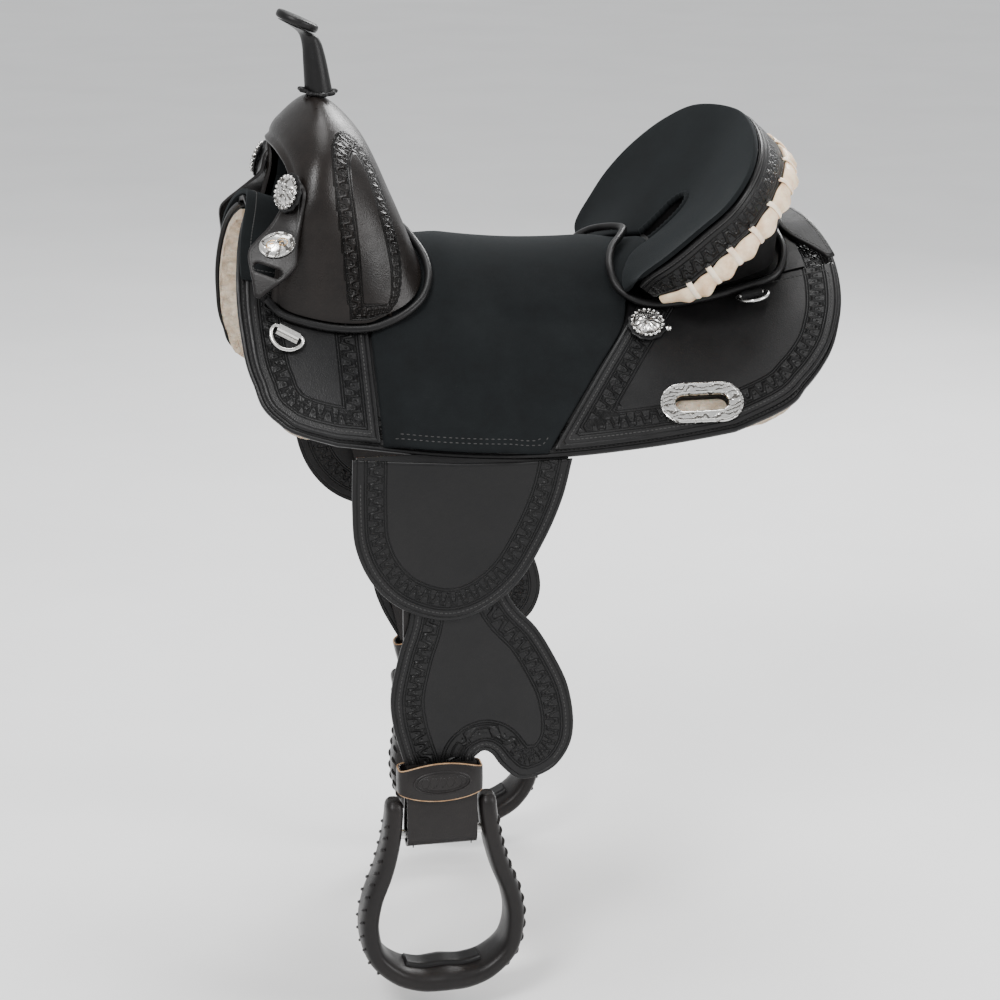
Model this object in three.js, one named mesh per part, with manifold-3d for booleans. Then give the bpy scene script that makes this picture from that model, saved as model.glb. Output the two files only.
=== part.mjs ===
// A western saddle as an assembly of separate leather, fleece, wood, foam and metal pieces.
// Millimetres. +Z is up, -X is the front (horn end), +X is the rear (cantle end), and the near
// (left) side is -Y. The origin is on the underside of the spine channel at mid-seat, where the
// saddle rests on a horse's back. Draped leather is laid out in its own flat coordinates: x along
// the back, s along the leather from the spine (+s is the off side, -s the near side), and h,
// the height above the horse, square to the surface.
import * as THREE from 'three';
import { mergeVertices } from 'three/addons/utils/BufferGeometryUtils.js';
import Module from 'manifold-3d';

const wasm = await Module();
wasm.setup();

// ---------- driving dimensions ----------
// The horse-side surface: spine height, side tilt (radians) and ridge softness along x.
const SPINE_HEIGHT = through([[-300, 78], [-200, 44], [-100, 15], [0, 0], [100, -2], [200, 5], [300, 20]]);
const SIDE_TILT = through([[-300, 1.02], [-150, 0.84], [0, 0.76], [300, 0.64]]);
const RIDGE_SOFTNESS = through([[-300, 42], [0, 68], [300, 74]]);
const BARREL_CURVE = 0.0006;

// Layers, as heights above the horse-side surface.
const FLEECE = [0, 12];
const SKIRT = [13.2, 17.2];
const LEATHER = [18.4, 22.4];
const HANGER = [18.4, 21.4];
const PATCH = [23.6, 27.4];
const PAD = [23.6, 28.8];
const SEAT_FOAM = [23.6, 29.2];
const SUEDE_THICKNESS = 3;
const SUEDE_ON_SKIRT = 18.4;
const SUEDE_STEP = 5.2;
const SUEDE_CROWN = 7;

// Leather outlines, s down from the spine.
const SKIRT_HEM = 253;
const FLEECE_HEM = 249;
const SEAT_HEM = 250;
const JOCKEY_HEM = 247;
const JOCKEY_TOP = 90;
const SKIRT_FRONT = through([[21, -268], [47, -277], [88, -284], [150, -285], [199, -277], [236, -256],
  [246, -238], [253, -200]]);
const SKIRT_REAR = through([[21, 328], [88, 335], [160, 321], [199, 300], [224, 274], [243, 244], [253, 195]]);
const JOCKEY_FRONT = through([[90, -276], [127, -278], [151, -277], [197, -270], [232, -250], [242, -230],
  [247, -200]]);
const REAR_JOCKEY_FRONT = through([[90, 127], [112, 110], [164, 71], [226, 26], [247, 11]]);
const REAR_JOCKEY_REAR = through([[90, 331], [112, 329], [160, 317], [195, 297], [218, 272], [236, 242],
  [247, 195]]);
const FRONT_JOCKEY_REAR = -159;

// Leg flap, fender and stirrup hang plumb in planes of constant y.
const FLAP_PLANE = [202, 206];
const FENDER_PLANE = [196.5, 200.5];
const STRAP_THICKNESS = 3.6;
const FENDER_PIVOT = { x: -85, z: -182 };
const STIRRUP_X = -104;
const NECK_HALF_WIDTH = 36;
const BOLT = { y: 197, z: -539, radius: 5 };
const OFF_FENDER_REST = THREE.MathUtils.degToRad(13);

// Silver fittings.
const CONCHO_RADIUS = 17;
const ROSETTE_RADIUS = 20;
const WIRE_RADIUS = 2;
const SLOT_PLATE = { x: 165, s: 219, length: 84, width: 45, slotLength: 54, slotWidth: 18, thickness: 3, tilt: 8 };
const SKIRT_CONCHO = { x: 126, s: 122 };
const KEEPER_THICKNESS = 4;
const MESH_GAP = 0.4;

// ---------- curves ----------
/** A smooth function through (t, value) points, straight past both ends. */
function through(points) {
  const last = points.length - 1;
  const chord = i => (points[i + 1][1] - points[i][1]) / (points[i + 1][0] - points[i][0]);
  const slope = points.map((point, i) => {
    if (i === 0) return chord(0);
    if (i === last) return chord(last - 1);
    const before = point[0] - points[i - 1][0];
    const after = points[i + 1][0] - point[0];
    return (chord(i - 1) * after + chord(i) * before) / (before + after);
  });
  return t => {
    if (t <= points[0][0]) return points[0][1] + slope[0] * (t - points[0][0]);
    if (t >= points[last][0]) return points[last][1] + slope[last] * (t - points[last][0]);
    const i = points.findIndex((point, k) => k < last && t <= points[k + 1][0]);
    const span = points[i + 1][0] - points[i][0];
    const k = (t - points[i][0]) / span;
    return points[i][1] * (1 + 2 * k) * (1 - k) ** 2 + slope[i] * span * k * (1 - k) ** 2
      + points[i + 1][1] * k * k * (3 - 2 * k) + slope[i + 1] * span * k * k * (k - 1);
  };
}

/** 0 at or below from, 1 at or above to, smooth between. */
function ramp(value, from, to) {
  return THREE.MathUtils.smoothstep(value, from, to);
}

/** A point on a uniform Catmull-Rom spline through vectors, t from 0 to length - 1. */
function spline(points, t) {
  const last = points.length - 1;
  const i = Math.min(Math.floor(t), last - 1);
  const k = t - i;
  const before = i > 0 ? points[i - 1] : points[0].clone().multiplyScalar(2).sub(points[1]);
  const after = i + 2 <= last ? points[i + 2] : points[last].clone().multiplyScalar(2).sub(points[last - 1]);
  const weights = [-k / 2 + k * k - k ** 3 / 2, 1 - 2.5 * k * k + 1.5 * k ** 3,
    k / 2 + 2 * k * k - 1.5 * k ** 3, -k * k / 2 + k ** 3 / 2];
  const result = new THREE.Vector3();
  [before, points[i], points[i + 1], after].forEach((point, j) => result.addScaledVector(point, weights[j]));
  return result;
}

function steps(from, to, count) {
  return Array.from({ length: count + 1 }, (_, i) => from + (to - from) * i / count);
}

const vec = (x, y, z) => new THREE.Vector3(x, y, z);
const mirrorY = point => vec(point.x, -point.y, point.z);

// ---------- the draped surface ----------
const ARC_STEPS = 16;

/** The surface's downward angle at distance s from the spine. */
function sideAngle(x, s) {
  return SIDE_TILT(x) * Math.tanh(s / RIDGE_SOFTNESS(x)) + BARREL_CURVE * s;
}

/** The point at x, signed distance s from the spine along the leather, and height h. */
function drape(x, s, h) {
  const reach = Math.abs(s);
  const side = Math.sign(s);
  let y = 0;
  let z = 0;
  for (let i = 0; i <= ARC_STEPS; i++) {
    const weight = (i === 0 || i === ARC_STEPS ? 1 : i % 2 ? 4 : 2) * reach / ARC_STEPS / 3;
    const angle = sideAngle(x, reach * i / ARC_STEPS);
    y += weight * Math.cos(angle);
    z -= weight * Math.sin(angle);
  }
  const angle = sideAngle(x, reach);
  return vec(x, side * (y + h * Math.sin(angle)), SPINE_HEIGHT(x) + z + h * Math.cos(angle));
}

/** Along (+x), down the side and outward directions at a point of the surface. */
function surfaceFrame(x, s) {
  const angle = sideAngle(x, Math.abs(s));
  const side = Math.sign(s);
  const along = drape(x + 1, s, 0).sub(drape(x - 1, s, 0)).normalize();
  const down = vec(0, side * Math.cos(angle), -Math.sin(angle));
  const out = vec(0, side * Math.sin(angle), Math.cos(angle));
  out.addScaledVector(along, -out.dot(along)).normalize();
  down.addScaledVector(along, -down.dot(along)).normalize();
  return { along, down, out };
}

/** The underside height of the suede seat: flat on the skirt, stepped up over the plate and the
 *  flap hangers, and crowned over the seat foam. */
function suedeHeight(x, s) {
  const overPlate = 1 - ramp(s, 93, 112);
  const overHanger = ramp(x, -157, -135) * (1 - ramp(x, -34, -12)) * ramp(s, 92, 110);
  const step = 1 - (1 - overPlate) * (1 - overHanger);
  const crown = ramp(x, -105, -60) * ramp(SUEDE_REAR(s) - x, 12, 62) * (1 - ramp(s, 130, 215));
  return SUEDE_ON_SKIRT + SUEDE_STEP * step + SUEDE_CROWN * crown;
}
const SUEDE_REAR = through([[0, 156], [60, 134], [86, 112], [112, 105], [164, 68], [226, 23], [250, 6]]);
const SUEDE_FRONT = -156;

// ---------- solids ----------
/** A closed solid with outward faces from vertices and triangles. */
function closedGeometry(vertices, triangles) {
  let volume = 0;
  for (const [a, b, c] of triangles) {
    volume += vertices[a].dot(vertices[b].clone().cross(vertices[c]));
  }
  const geometry = new THREE.BufferGeometry();
  geometry.setAttribute('position', new THREE.Float32BufferAttribute(vertices.flatMap(v => [v.x, v.y, v.z]), 3));
  geometry.setIndex((volume < 0 ? triangles.map(([a, b, c]) => [a, c, b]) : triangles).flat());
  return geometry;
}

/** A slab between two grids of points with the same rows and columns. */
function gridSolid(top, bottom) {
  const rows = top.length;
  const columns = top[0].length;
  const vertices = [...top.flat(), ...bottom.flat()];
  const upper = (i, j) => i * columns + j;
  const lower = (i, j) => rows * columns + i * columns + j;
  const triangles = [];
  const quad = (a, b, c, d) => triangles.push([a, b, c], [a, c, d]);
  for (let i = 0; i + 1 < rows; i++) {
    for (let j = 0; j + 1 < columns; j++) {
      quad(upper(i, j), upper(i, j + 1), upper(i + 1, j + 1), upper(i + 1, j));
      quad(lower(i, j), lower(i + 1, j), lower(i + 1, j + 1), lower(i, j + 1));
    }
    quad(upper(i, 0), upper(i + 1, 0), lower(i + 1, 0), lower(i, 0));
    quad(upper(i, columns - 1), lower(i, columns - 1), lower(i + 1, columns - 1), upper(i + 1, columns - 1));
  }
  for (let j = 0; j + 1 < columns; j++) {
    quad(upper(0, j), lower(0, j), lower(0, j + 1), upper(0, j + 1));
    quad(upper(rows - 1, j), upper(rows - 1, j + 1), lower(rows - 1, j + 1), lower(rows - 1, j));
  }
  return closedGeometry(vertices, triangles);
}

/** A solid through rings of points, capped at both ends or closed on itself. */
function loft(rings, closed = false) {
  const size = rings[0].length;
  const vertices = rings.flat();
  const triangles = [];
  const links = closed ? rings.length : rings.length - 1;
  for (let i = 0; i < links; i++) {
    const next = (i + 1) % rings.length;
    for (let j = 0; j < size; j++) {
      const k = (j + 1) % size;
      triangles.push([i * size + j, i * size + k, next * size + k], [i * size + j, next * size + k, next * size + j]);
    }
  }
  if (!closed) {
    for (const [ring, flip] of [[0, true], [rings.length - 1, false]]) {
      const middle = vertices.length;
      vertices.push(rings[ring].reduce((sum, p) => sum.add(p), vec(0, 0, 0)).divideScalar(size));
      for (let j = 0; j < size; j++) {
        const pair = [ring * size + j, ring * size + (j + 1) % size];
        triangles.push(flip ? [middle, pair[1], pair[0]] : [middle, pair[0], pair[1]]);
      }
    }
  }
  return closedGeometry(vertices, triangles);
}

/** A draped leather or fleece sheet: rows run down the side, columns from front to rear. */
function sheet({ rows, front, rear, columns, bottom, top }) {
  const grid = height => rows.map(s => {
    const reach = Math.abs(s);
    return steps(front(reach), rear(reach), columns).map(x => drape(x, s, height(x, reach)));
  });
  return gridSolid(grid(top), grid(bottom));
}

/** A closed tube along a ring of points. */
function ringTube(points, radius, segments, sides) {
  const curve = new THREE.CatmullRomCurve3(points, true);
  const frames = curve.computeFrenetFrames(segments, true);
  const rings = steps(0, 1, segments).slice(0, segments).map((t, i) => {
    const centre = curve.getPointAt(t);
    return steps(0, 2 * Math.PI, sides).slice(0, sides).map(angle => centre.clone()
      .addScaledVector(frames.normals[i], radius * Math.cos(angle))
      .addScaledVector(frames.binormals[i], radius * Math.sin(angle)));
  });
  return loft(rings, true);
}

/** Puts a geometry's X, Y and Z axes along three directions, at a place. */
function placed(geometry, xAxis, yAxis, zAxis, origin) {
  const matrix = new THREE.Matrix4().makeBasis(xAxis, yAxis, zAxis).setPosition(origin);
  return geometry.clone().applyMatrix4(matrix);
}

/** A flat plate cut from a shape. */
function plate(shape, thickness, curveSegments = 6) {
  return new THREE.ExtrudeGeometry(shape, { depth: thickness, bevelEnabled: false, curveSegments });
}

/** The mirror image of a solid on the other side of the saddle. */
function mirrored(geometry) {
  const copy = geometry.index ? geometry.clone() : mergeVertices(positionsOnly(geometry));
  copy.scale(1, -1, 1);
  const index = copy.index.array;
  for (let i = 0; i < index.length; i += 3) [index[i], index[i + 1]] = [index[i + 1], index[i]];
  return copy;
}

function positionsOnly(geometry) {
  const copy = geometry.clone();
  copy.deleteAttribute('normal');
  copy.deleteAttribute('uv');
  return copy;
}

function toManifold(geometry) {
  const merged = mergeVertices(positionsOnly(geometry), 1e-4);
  return new wasm.Manifold(new wasm.Mesh({
    numProp: 3,
    vertProperties: new Float32Array(merged.attributes.position.array),
    triVerts: new Uint32Array(merged.index.array),
  }));
}

function cut(geometry, ...tools) {
  const solid = tools.reduce((body, tool) => body.subtract(toManifold(tool)), toManifold(geometry));
  const mesh = solid.getMesh();
  const result = new THREE.BufferGeometry();
  result.setAttribute('position', new THREE.BufferAttribute(new Float32Array(mesh.vertProperties), 3));
  result.setIndex(new THREE.BufferAttribute(new Uint32Array(mesh.triVerts), 1));
  return result;
}

/** A cylinder between two points. */
function rod(from, to, radius, sides = 12) {
  const length = from.distanceTo(to);
  const turn = new THREE.Quaternion().setFromUnitVectors(vec(0, 1, 0), to.clone().sub(from).normalize());
  return new THREE.CylinderGeometry(radius, radius, length, sides)
    .applyQuaternion(turn).translate(...from.clone().add(to).multiplyScalar(0.5).toArray());
}

/** A stadium outline: a slot or plate with round ends, long along X. */
function stadium(length, width, Outline = THREE.Shape) {
  const half = (length - width) / 2;
  const outline = new Outline();
  outline.absarc(half, 0, width / 2, -Math.PI / 2, Math.PI / 2);
  outline.absarc(-half, 0, width / 2, Math.PI / 2, 3 * Math.PI / 2);
  return outline;
}

// ---------- materials and nodes ----------
const finish = (color, roughness, metalness = 0) =>
  new THREE.MeshStandardMaterial({ color, roughness, metalness });
const FINISHES = {
  leather: () => finish(0x17181a, 0.38),
  suede: () => finish(0x1b1e1f, 0.95),
  fleece: () => finish(0xe9dccb, 1),
  foam: () => finish(0x8b8f94, 0.95),
  wood: () => finish(0xa07c52, 0.8),
  board: () => finish(0x6d5a45, 0.8),
  rawhide: () => finish(0xebcfae, 0.55),
  edge: () => finish(0xb08a62, 0.7),
  silver: () => finish(0xc9c9c6, 0.25, 1),
  steel: () => finish(0x8f9296, 0.35, 1),
};

const saddle = new THREE.Group();
saddle.name = 'western_saddle';

function add(name, geometry, material) {
  const mesh = new THREE.Mesh(geometry, FINISHES[material]());
  mesh.name = name;
  saddle.add(mesh);
  return mesh;
}

/** Adds a near-side solid and its mirror image on the off side. */
function addPair(name, nearGeometry, material) {
  add(`near_${name}`, nearGeometry, material);
  add(`off_${name}`, mirrored(nearGeometry), material);
}

// ---------- fleece, skirts, plate and seat ----------
const level = height => () => height;

function drapedPair(name, material, { rows, front, rear, columns, layer, holes = [] }) {
  const near = sheet({ rows: rows.map(s => -s), front, rear, columns, bottom: level(layer[0]), top: level(layer[1]) });
  addPair(name, holes.length ? cut(near, ...holes) : near, material);
}

const plateFrame = surfaceFrame(SLOT_PLATE.x, -SLOT_PLATE.s);
const plateTilt = THREE.MathUtils.degToRad(SLOT_PLATE.tilt);
const plateAlong = plateFrame.along.clone().applyAxisAngle(plateFrame.out, -plateTilt);
const plateUp = plateFrame.out.clone().cross(plateAlong);

function onPlate(geometry, height) {
  return placed(geometry, plateAlong, plateUp, plateFrame.out, drape(SLOT_PLATE.x, -SLOT_PLATE.s, height));
}

function buildLayers() {
  const slot = onPlate(plate(stadium(SLOT_PLATE.slotLength, SLOT_PLATE.slotWidth), 30, 4), 9);
  drapedPair('fleece_lining', 'fleece', {
    rows: [22, 60, 100, 145, 190, 220, 239, FLEECE_HEM],
    front: s => SKIRT_FRONT(s) + 2,
    rear: s => SKIRT_REAR(s) - 2,
    columns: 10,
    layer: FLEECE,
  });
  drapedPair('skirt', 'leather', {
    rows: [21, 60, 100, 145, 190, 220, 239, 249, SKIRT_HEM],
    front: SKIRT_FRONT,
    rear: SKIRT_REAR,
    columns: 11,
    layer: SKIRT,
    holes: [slot],
  });
  drapedPair('front_jockey', 'leather', {
    rows: [JOCKEY_TOP, 130, 165, 200, 222, 236, 243, JOCKEY_HEM],
    front: JOCKEY_FRONT,
    rear: level(FRONT_JOCKEY_REAR),
    columns: 5,
    layer: LEATHER,
  });
  drapedPair('rear_jockey', 'leather', {
    rows: [JOCKEY_TOP, 130, 165, 200, 222, 236, 243, JOCKEY_HEM],
    front: REAR_JOCKEY_FRONT,
    rear: REAR_JOCKEY_REAR,
    columns: 8,
    layer: LEATHER,
    holes: [slot],
  });
  drapedPair('flap_hanger', 'leather', {
    rows: [96, 150, 200, 230, 250],
    front: level(-125),
    rear: level(-45),
    columns: 3,
    layer: HANGER,
  });
  add('ground_seat', sheet({
    rows: [-88, -66, -44, -22, 0, 22, 44, 66, 88],
    front: level(-266),
    rear: level(300),
    columns: 15,
    bottom: level(LEATHER[0]),
    top: level(LEATHER[1]),
  }), 'board');
  add('seat_foam', sheet({
    rows: [-86, -64, -43, -21, 0, 21, 43, 64, 86],
    front: level(-58),
    rear: level(52),
    columns: 4,
    bottom: level(SEAT_FOAM[0]),
    top: level(SEAT_FOAM[1]),
  }), 'foam');
  add('suede_seat', sheet({
    rows: [-SEAT_HEM, -225, -190, -150, -118, -102, -86, -64, -43, -21, 0,
      21, 43, 64, 86, 102, 118, 150, 190, 225, SEAT_HEM],
    front: level(SUEDE_FRONT),
    rear: SUEDE_REAR,
    columns: 9,
    bottom: suedeHeight,
    top: (x, s) => suedeHeight(x, s) + SUEDE_THICKNESS,
  }), 'suede');
  add('wither_pad', sheet({
    rows: [-98, -82, -64, -44, -22, 0, 22, 44, 64, 82, 98],
    front: through([[0, -262], [20, -267], [60, -278], [87, -281], [98, -281]]),
    rear: level(-214),
    columns: 3,
    bottom: level(PAD[0]),
    top: level(PAD[1]),
  }), 'suede');
  add('rear_bridge_patch', sheet({
    rows: [-85, -68, -48, -24, 0, 24, 48, 68, 85],
    front: through([[0, 292], [46, 296], [69, 313], [85, 325]]),
    rear: through([[0, 321], [43, 327], [85, 333]]),
    columns: 3,
    bottom: level(PATCH[0]),
    top: level(PATCH[1]),
  }), 'leather');
}

// ---------- fork, gullet and horn ----------
const FORK_SHELL = 4;
const FORK_CORE = [10, 20];
const WELT_RADIUS = 4;

/** Sections of the swell's outer surface from the front edge to the rear base; each runs from the
 *  base of one side up to the centre line, and the other side mirrors it. */
function forkSections() {
  const base = (x, s, h = 27.5) => drape(x, s, h);
  const half = [
    [base(-254, 114), vec(-246, 98, 40), vec(-235, 94, 76), vec(-229, 87, 104), vec(-231, 71, 125),
      vec(-237, 42, 138), vec(-241, 0, 142)],
    [base(-234, 125), vec(-233, 112, 30), vec(-225, 113, 70), vec(-217, 109, 104), vec(-217, 91, 135),
      vec(-223, 53, 157), vec(-228, 0, 166)],
    [base(-196, 129), vec(-196, 118, 20), vec(-194, 116, 66), vec(-192, 111, 104), vec(-190, 92, 144),
      vec(-190, 54, 174), vec(-191, 0, 189)],
    [base(-162, 125), vec(-160, 116, 14), vec(-156, 108, 52), vec(-152, 95, 88), vec(-149, 74, 120),
      vec(-149, 42, 145), vec(-150, 0, 155)],
    [base(-146, 118, 30), vec(-135, 109, 6), vec(-125, 99, 32), vec(-120, 83, 58), vec(-120, 60, 80),
      vec(-122, 32, 94), vec(-124, 0, 99)],
    [base(-136, 112, 31.5), base(-120, 101, 31.5), base(-106, 86, 31.5), base(-98, 66, 31.5),
      base(-98, 44, 31.5), base(-104, 22, 31.5), base(-108, 0, 31.5)],
  ];
  return half.map(section => [...section.map(mirrorY), ...section.slice(0, -1).reverse()]);
}

/** Points of the swell's surface, shifted inward by depth. */
function forkGrid(depth, uList, wList) {
  const sections = forkSections();
  const point = (u, w) => spline(sections.map(section => spline(section, w)), u);
  return uList.map(u => wList.map(w => {
    const du = point(Math.min(u + 0.05, 5), w).sub(point(Math.max(u - 0.05, 0), w));
    const dw = point(u, Math.min(w + 0.05, 12)).sub(point(u, Math.max(w - 0.05, 0)));
    return point(u, w).addScaledVector(dw.cross(du).normalize(), depth);
  }));
}

/** The loop of the swell's welt on the leather below it, front corner to front corner. */
function forkWeltLine() {
  const half = [[-258, 116, 27], [-240, 130, 27], [-198, 135, 27], [-162, 131, 27], [-137, 121, 30],
    [-116, 107, 32], [-100, 90, 33], [-91, 68, 33.5], [-91, 45, 33.5], [-98, 22, 33], [-102, 0, 33]];
  const near = half.map(([x, s, h]) => drape(x, -s, h));
  return [...near, ...near.slice(0, -1).reverse().map(mirrorY)];
}

/** An open tube with flat ends along a line of points. */
function openTube(points, radius, segments, sides) {
  const curve = new THREE.CatmullRomCurve3(points);
  const frames = curve.computeFrenetFrames(segments, false);
  return loft(steps(0, 1, segments).map((t, i) => {
    const centre = curve.getPointAt(t);
    return steps(0, 2 * Math.PI, sides).slice(0, sides).map(angle => centre.clone()
      .addScaledVector(frames.normals[i], radius * Math.cos(angle))
      .addScaledVector(frames.binormals[i], radius * Math.sin(angle)));
  }));
}

const HORN_POST_RADIUS = 6;
const HORN_TILT = THREE.MathUtils.degToRad(24.8);
const HORN_CAP = { centre: vec(-207.3, 0, 262.2), radius: 22.5, thickness: 9 };

function buildFork() {
  const hornPost = rod(vec(-186, 0, 150), vec(-193, 0, 240), HORN_POST_RADIUS);
  const postHole = rod(vec(-185.2, 0, 140), vec(-193.4, 0, 245), HORN_POST_RADIUS + MESH_GAP);
  const uFine = [0, 0.5, 1, 1.6, 2.4, 3.2, 4, 5];
  const wFine = steps(0, 12, 18);
  const cover = gridSolid(forkGrid(0, uFine, wFine), forkGrid(FORK_SHELL, uFine, wFine));
  add('swell_cover', cut(cover, postHole), 'leather');

  const uCore = [0.15, 0.6, 1.2, 2, 3, 4, 4.7];
  const wCore = steps(0.2, 11.8, 14);
  const core = gridSolid(forkGrid(FORK_CORE[0], uCore, wCore), forkGrid(FORK_CORE[1], uCore, wCore));
  const bedding = sheet({
    rows: [-160, -110, -88, -66, -44, -22, 0, 22, 44, 66, 88, 110, 160],
    front: level(-275),
    rear: level(-70),
    columns: 8,
    bottom: level(-50),
    top: x => (x > -160 ? 28.2 : 24.2),
  });
  const overPad = sheet({
    rows: [-114, -88, -66, -44, -22, 0, 22, 44, 66, 88, 114],
    front: level(-290),
    rear: level(-208),
    columns: 4,
    bottom: level(-20),
    top: level(PAD[1] + 1),
  });
  add('fork_core', cut(core, postHole, bedding, overPad), 'wood');

  add('swell_welt', openTube(forkWeltLine(), WELT_RADIUS, 34, 6), 'leather');
  add('horn_post', hornPost, 'steel');
  buildHorn(postHole);
}

function buildHorn(postHole) {
  const sides = 14;
  const up = vec(Math.sin(HORN_TILT), 0, Math.cos(HORN_TILT));
  const stations = [[-187, 191.5, 14, 0], [-190, 219, 12, 0], [-192.5, 237, 10.5, 0.1], [-196, 247, 11, 0.3],
    [-202.5, 252.8, 15, 0.4], [-209.4, 257, 19, HORN_TILT]];
  const rings = stations.map(([x, z, radius, lean]) => steps(0, 2 * Math.PI, sides).slice(0, sides)
    .map(angle => vec(x + radius * Math.cos(angle) * Math.cos(lean), radius * Math.sin(angle),
      z - radius * Math.cos(angle) * Math.sin(lean))));
  add('horn_neck_wrap', cut(loft(rings), postHole), 'leather');

  const { radius, thickness, centre } = HORN_CAP;
  const half = thickness / 2;
  const profile = [[0, -half], [radius * 0.9, -half], [radius, -half * 0.6], [radius, half * 0.5],
    [radius * 0.93, half], [0, half]].map(([r, z]) => new THREE.Vector2(r, z));
  const cap = new THREE.LatheGeometry(profile, 20).rotateX(Math.PI / 2);
  const across = vec(0, 1, 0);
  add('horn_cap', placed(cap, across.clone().cross(up), across, up, centre), 'leather');
}

// ---------- cantle ----------
// Lines of the cantle from the tip of one side to the centre: the seam with the seat, the rim of
// the suede face, the outer edge of the tooled band, the rawhide's edge, and the base.
const CANTLE_LINES = {
  seam: [[104, 118, -6], [105, 100, 2], [109, 84, 9], [116, 68, 15], [125, 52, 21], [138, 36, 26], [154, 19, 30],
    [160, 0, 31]],
  rim: [[112, 123, 2], [114, 143, 19], [136, 166, 44], [160, 182, 70], [190, 188, 98], [219, 162, 128],
    [239, 103, 151], [252, 0, 160]],
  band: [[128, 126, -10], [141, 146, -2], [162, 165, 10], [188, 178, 37], [220, 178, 66], [251, 152, 97],
    [276, 98, 118], [289, 0, 126]],
  rawhide: [[133, 124, -13], [147, 143, -9], [169, 161, -1], [196, 174, 25], [228, 173, 55], [260, 147, 86],
    [285, 95, 107], [298, 0, 115]],
};
const CANTLE_BASE = [[130, 96], [143, 97], [168, 98], [198, 99], [232, 95], [262, 88], [275, 60], [280, 0]];
const CANTLE_BASE_HEIGHT = 32;
const FACE_THICKNESS = 4.5;
const BAND_THICKNESS = 3.5;
const FACE_DISH = 9;

function cantleLine(name) {
  const half = name === 'base'
    ? CANTLE_BASE.map(([x, s]) => drape(x, s, CANTLE_BASE_HEIGHT))
    : CANTLE_LINES[name].map(point => vec(...point));
  return [...half.map(mirrorY), ...half.slice(0, -1).reverse()];
}

/** A sheet stretched between two cantle lines, dished by sag, its thickness on the inner side;
 *  from and to trim it across, tip trims it at both ends. */
function cantleSheet(fromLine, toLine, { from, to, rows, columns, tip, sag, skin, thickness }) {
  const first = cantleLine(fromLine);
  const second = cantleLine(toLine);
  const point = (t, w) => {
    const near = spline(first, w);
    const far = spline(second, w);
    return near.lerp(far, t);
  };
  const normalAt = (t, w) => {
    const dt = point(t + 0.02, w).sub(point(t - 0.02, w));
    const dw = point(t, Math.min(w + 0.05, 14)).sub(point(t, Math.max(w - 0.05, 0)));
    return dt.cross(dw).normalize();
  };
  const grid = depth => steps(from, to, rows).map(t => steps(tip, 14 - tip, columns).map(w => {
    const dish = sag * Math.sin(Math.PI * t) * Math.sin(Math.PI * w / 14);
    return point(t, w).addScaledVector(normalAt(t, w), -(depth + dish));
  }));
  return gridSolid(grid(skin), grid(skin + thickness));
}

const NOTCH = { start: vec(148, 0, 20), along: vec(0.66, 0, 0.751), length: 72, width: 42, depth: 22 };

/** The hand hole through the bottom of the cantle face, as a cutting solid. */
function notchTool(clearance) {
  const width = NOTCH.width + 2 * clearance;
  const outline = new THREE.Shape();
  outline.moveTo(-20, -width / 2);
  outline.lineTo(NOTCH.length - width / 2, -width / 2);
  outline.absarc(NOTCH.length - width / 2, 0, width / 2, -Math.PI / 2, Math.PI / 2);
  outline.lineTo(-20, width / 2);
  const out = vec(-NOTCH.along.z, 0, NOTCH.along.x);
  const across = out.clone().cross(NOTCH.along);
  return placed(plate(outline, NOTCH.depth + 25, 6), NOTCH.along, across, out,
    NOTCH.start.clone().addScaledVector(out, -NOTCH.depth));
}

function buildCantle() {
  const face = cantleSheet('seam', 'rim', {
    from: 0, to: 1, rows: 4, columns: 16, tip: 0.35, sag: FACE_DISH, skin: 0, thickness: FACE_THICKNESS });
  add('cantle_face', cut(face, notchTool(0)), 'suede');
  add('cantle_band', cantleSheet('rim', 'band', {
    from: 0.17, to: 0.97, rows: 2, columns: 18, tip: 0.3, sag: -2, skin: 0, thickness: BAND_THICKNESS }), 'leather');
  add('rawhide_binding', cantleSheet('band', 'rawhide', {
    from: 0.08, to: 1, rows: 1, columns: 20, tip: 0.6, sag: 0, skin: 0, thickness: BAND_THICKNESS }), 'rawhide');
  add('cantle_back', cantleSheet('rawhide', 'base', {
    from: 0.12, to: 0.97, rows: 3, columns: 16, tip: 1.3, sag: 3, skin: 1.5, thickness: BAND_THICKNESS }), 'leather');
  buildCantleCore();
  buildCantleWelt();
}

function buildCantleCore() {
  const names = ['seam', 'rim', 'band', 'rawhide', 'base'];
  const lines = names.map(cantleLine);
  const shrink = 0.64;
  const rings = steps(1.8, 12.2, 12).map(w => {
    const [seam, rim, band, rawhide, base] = lines.map(line => spline(line, w));
    const middle = seam.clone().lerp(rim, 0.5).add(vec(14, 0, -12));
    const ring = [seam, middle, rim, band, rawhide, base];
    const centre = ring.reduce((sum, p) => sum.add(p), vec(0, 0, 0)).divideScalar(ring.length);
    return ring.map(p => p.clone().lerp(centre, 1 - shrink));
  });
  const bedding = sheet({
    rows: [-160, -110, -88, -66, -44, -22, 0, 22, 44, 66, 88, 110, 160],
    front: level(60),
    rear: level(330),
    columns: 8,
    bottom: level(-40),
    top: level(36),
  });
  add('cantle_core', cut(loft(rings), bedding, notchTool(2)), 'wood');
}

function buildCantleWelt() {
  const half = [[284, 0, 27.2], [284, 40, 27.2], [282, 70, 27.2], [266, 94, 27.2], [233, 100, 27.2],
    [178, 104, 27.2], [131, 101, 28.6], [104, 84, 33.2], [98, 62, 38.6], [106, 38, 39.2], [122, 18, 39.4],
    [131, 0, 39.4]];
  const near = half.map(([x, s, h]) => drape(x, -s, h));
  const loop = [...near, ...near.slice(1, -1).reverse().map(mirrorY)];
  add('cantle_welt', ringTube(loop, WELT_RADIUS, 40, 6), 'leather');
}

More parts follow.
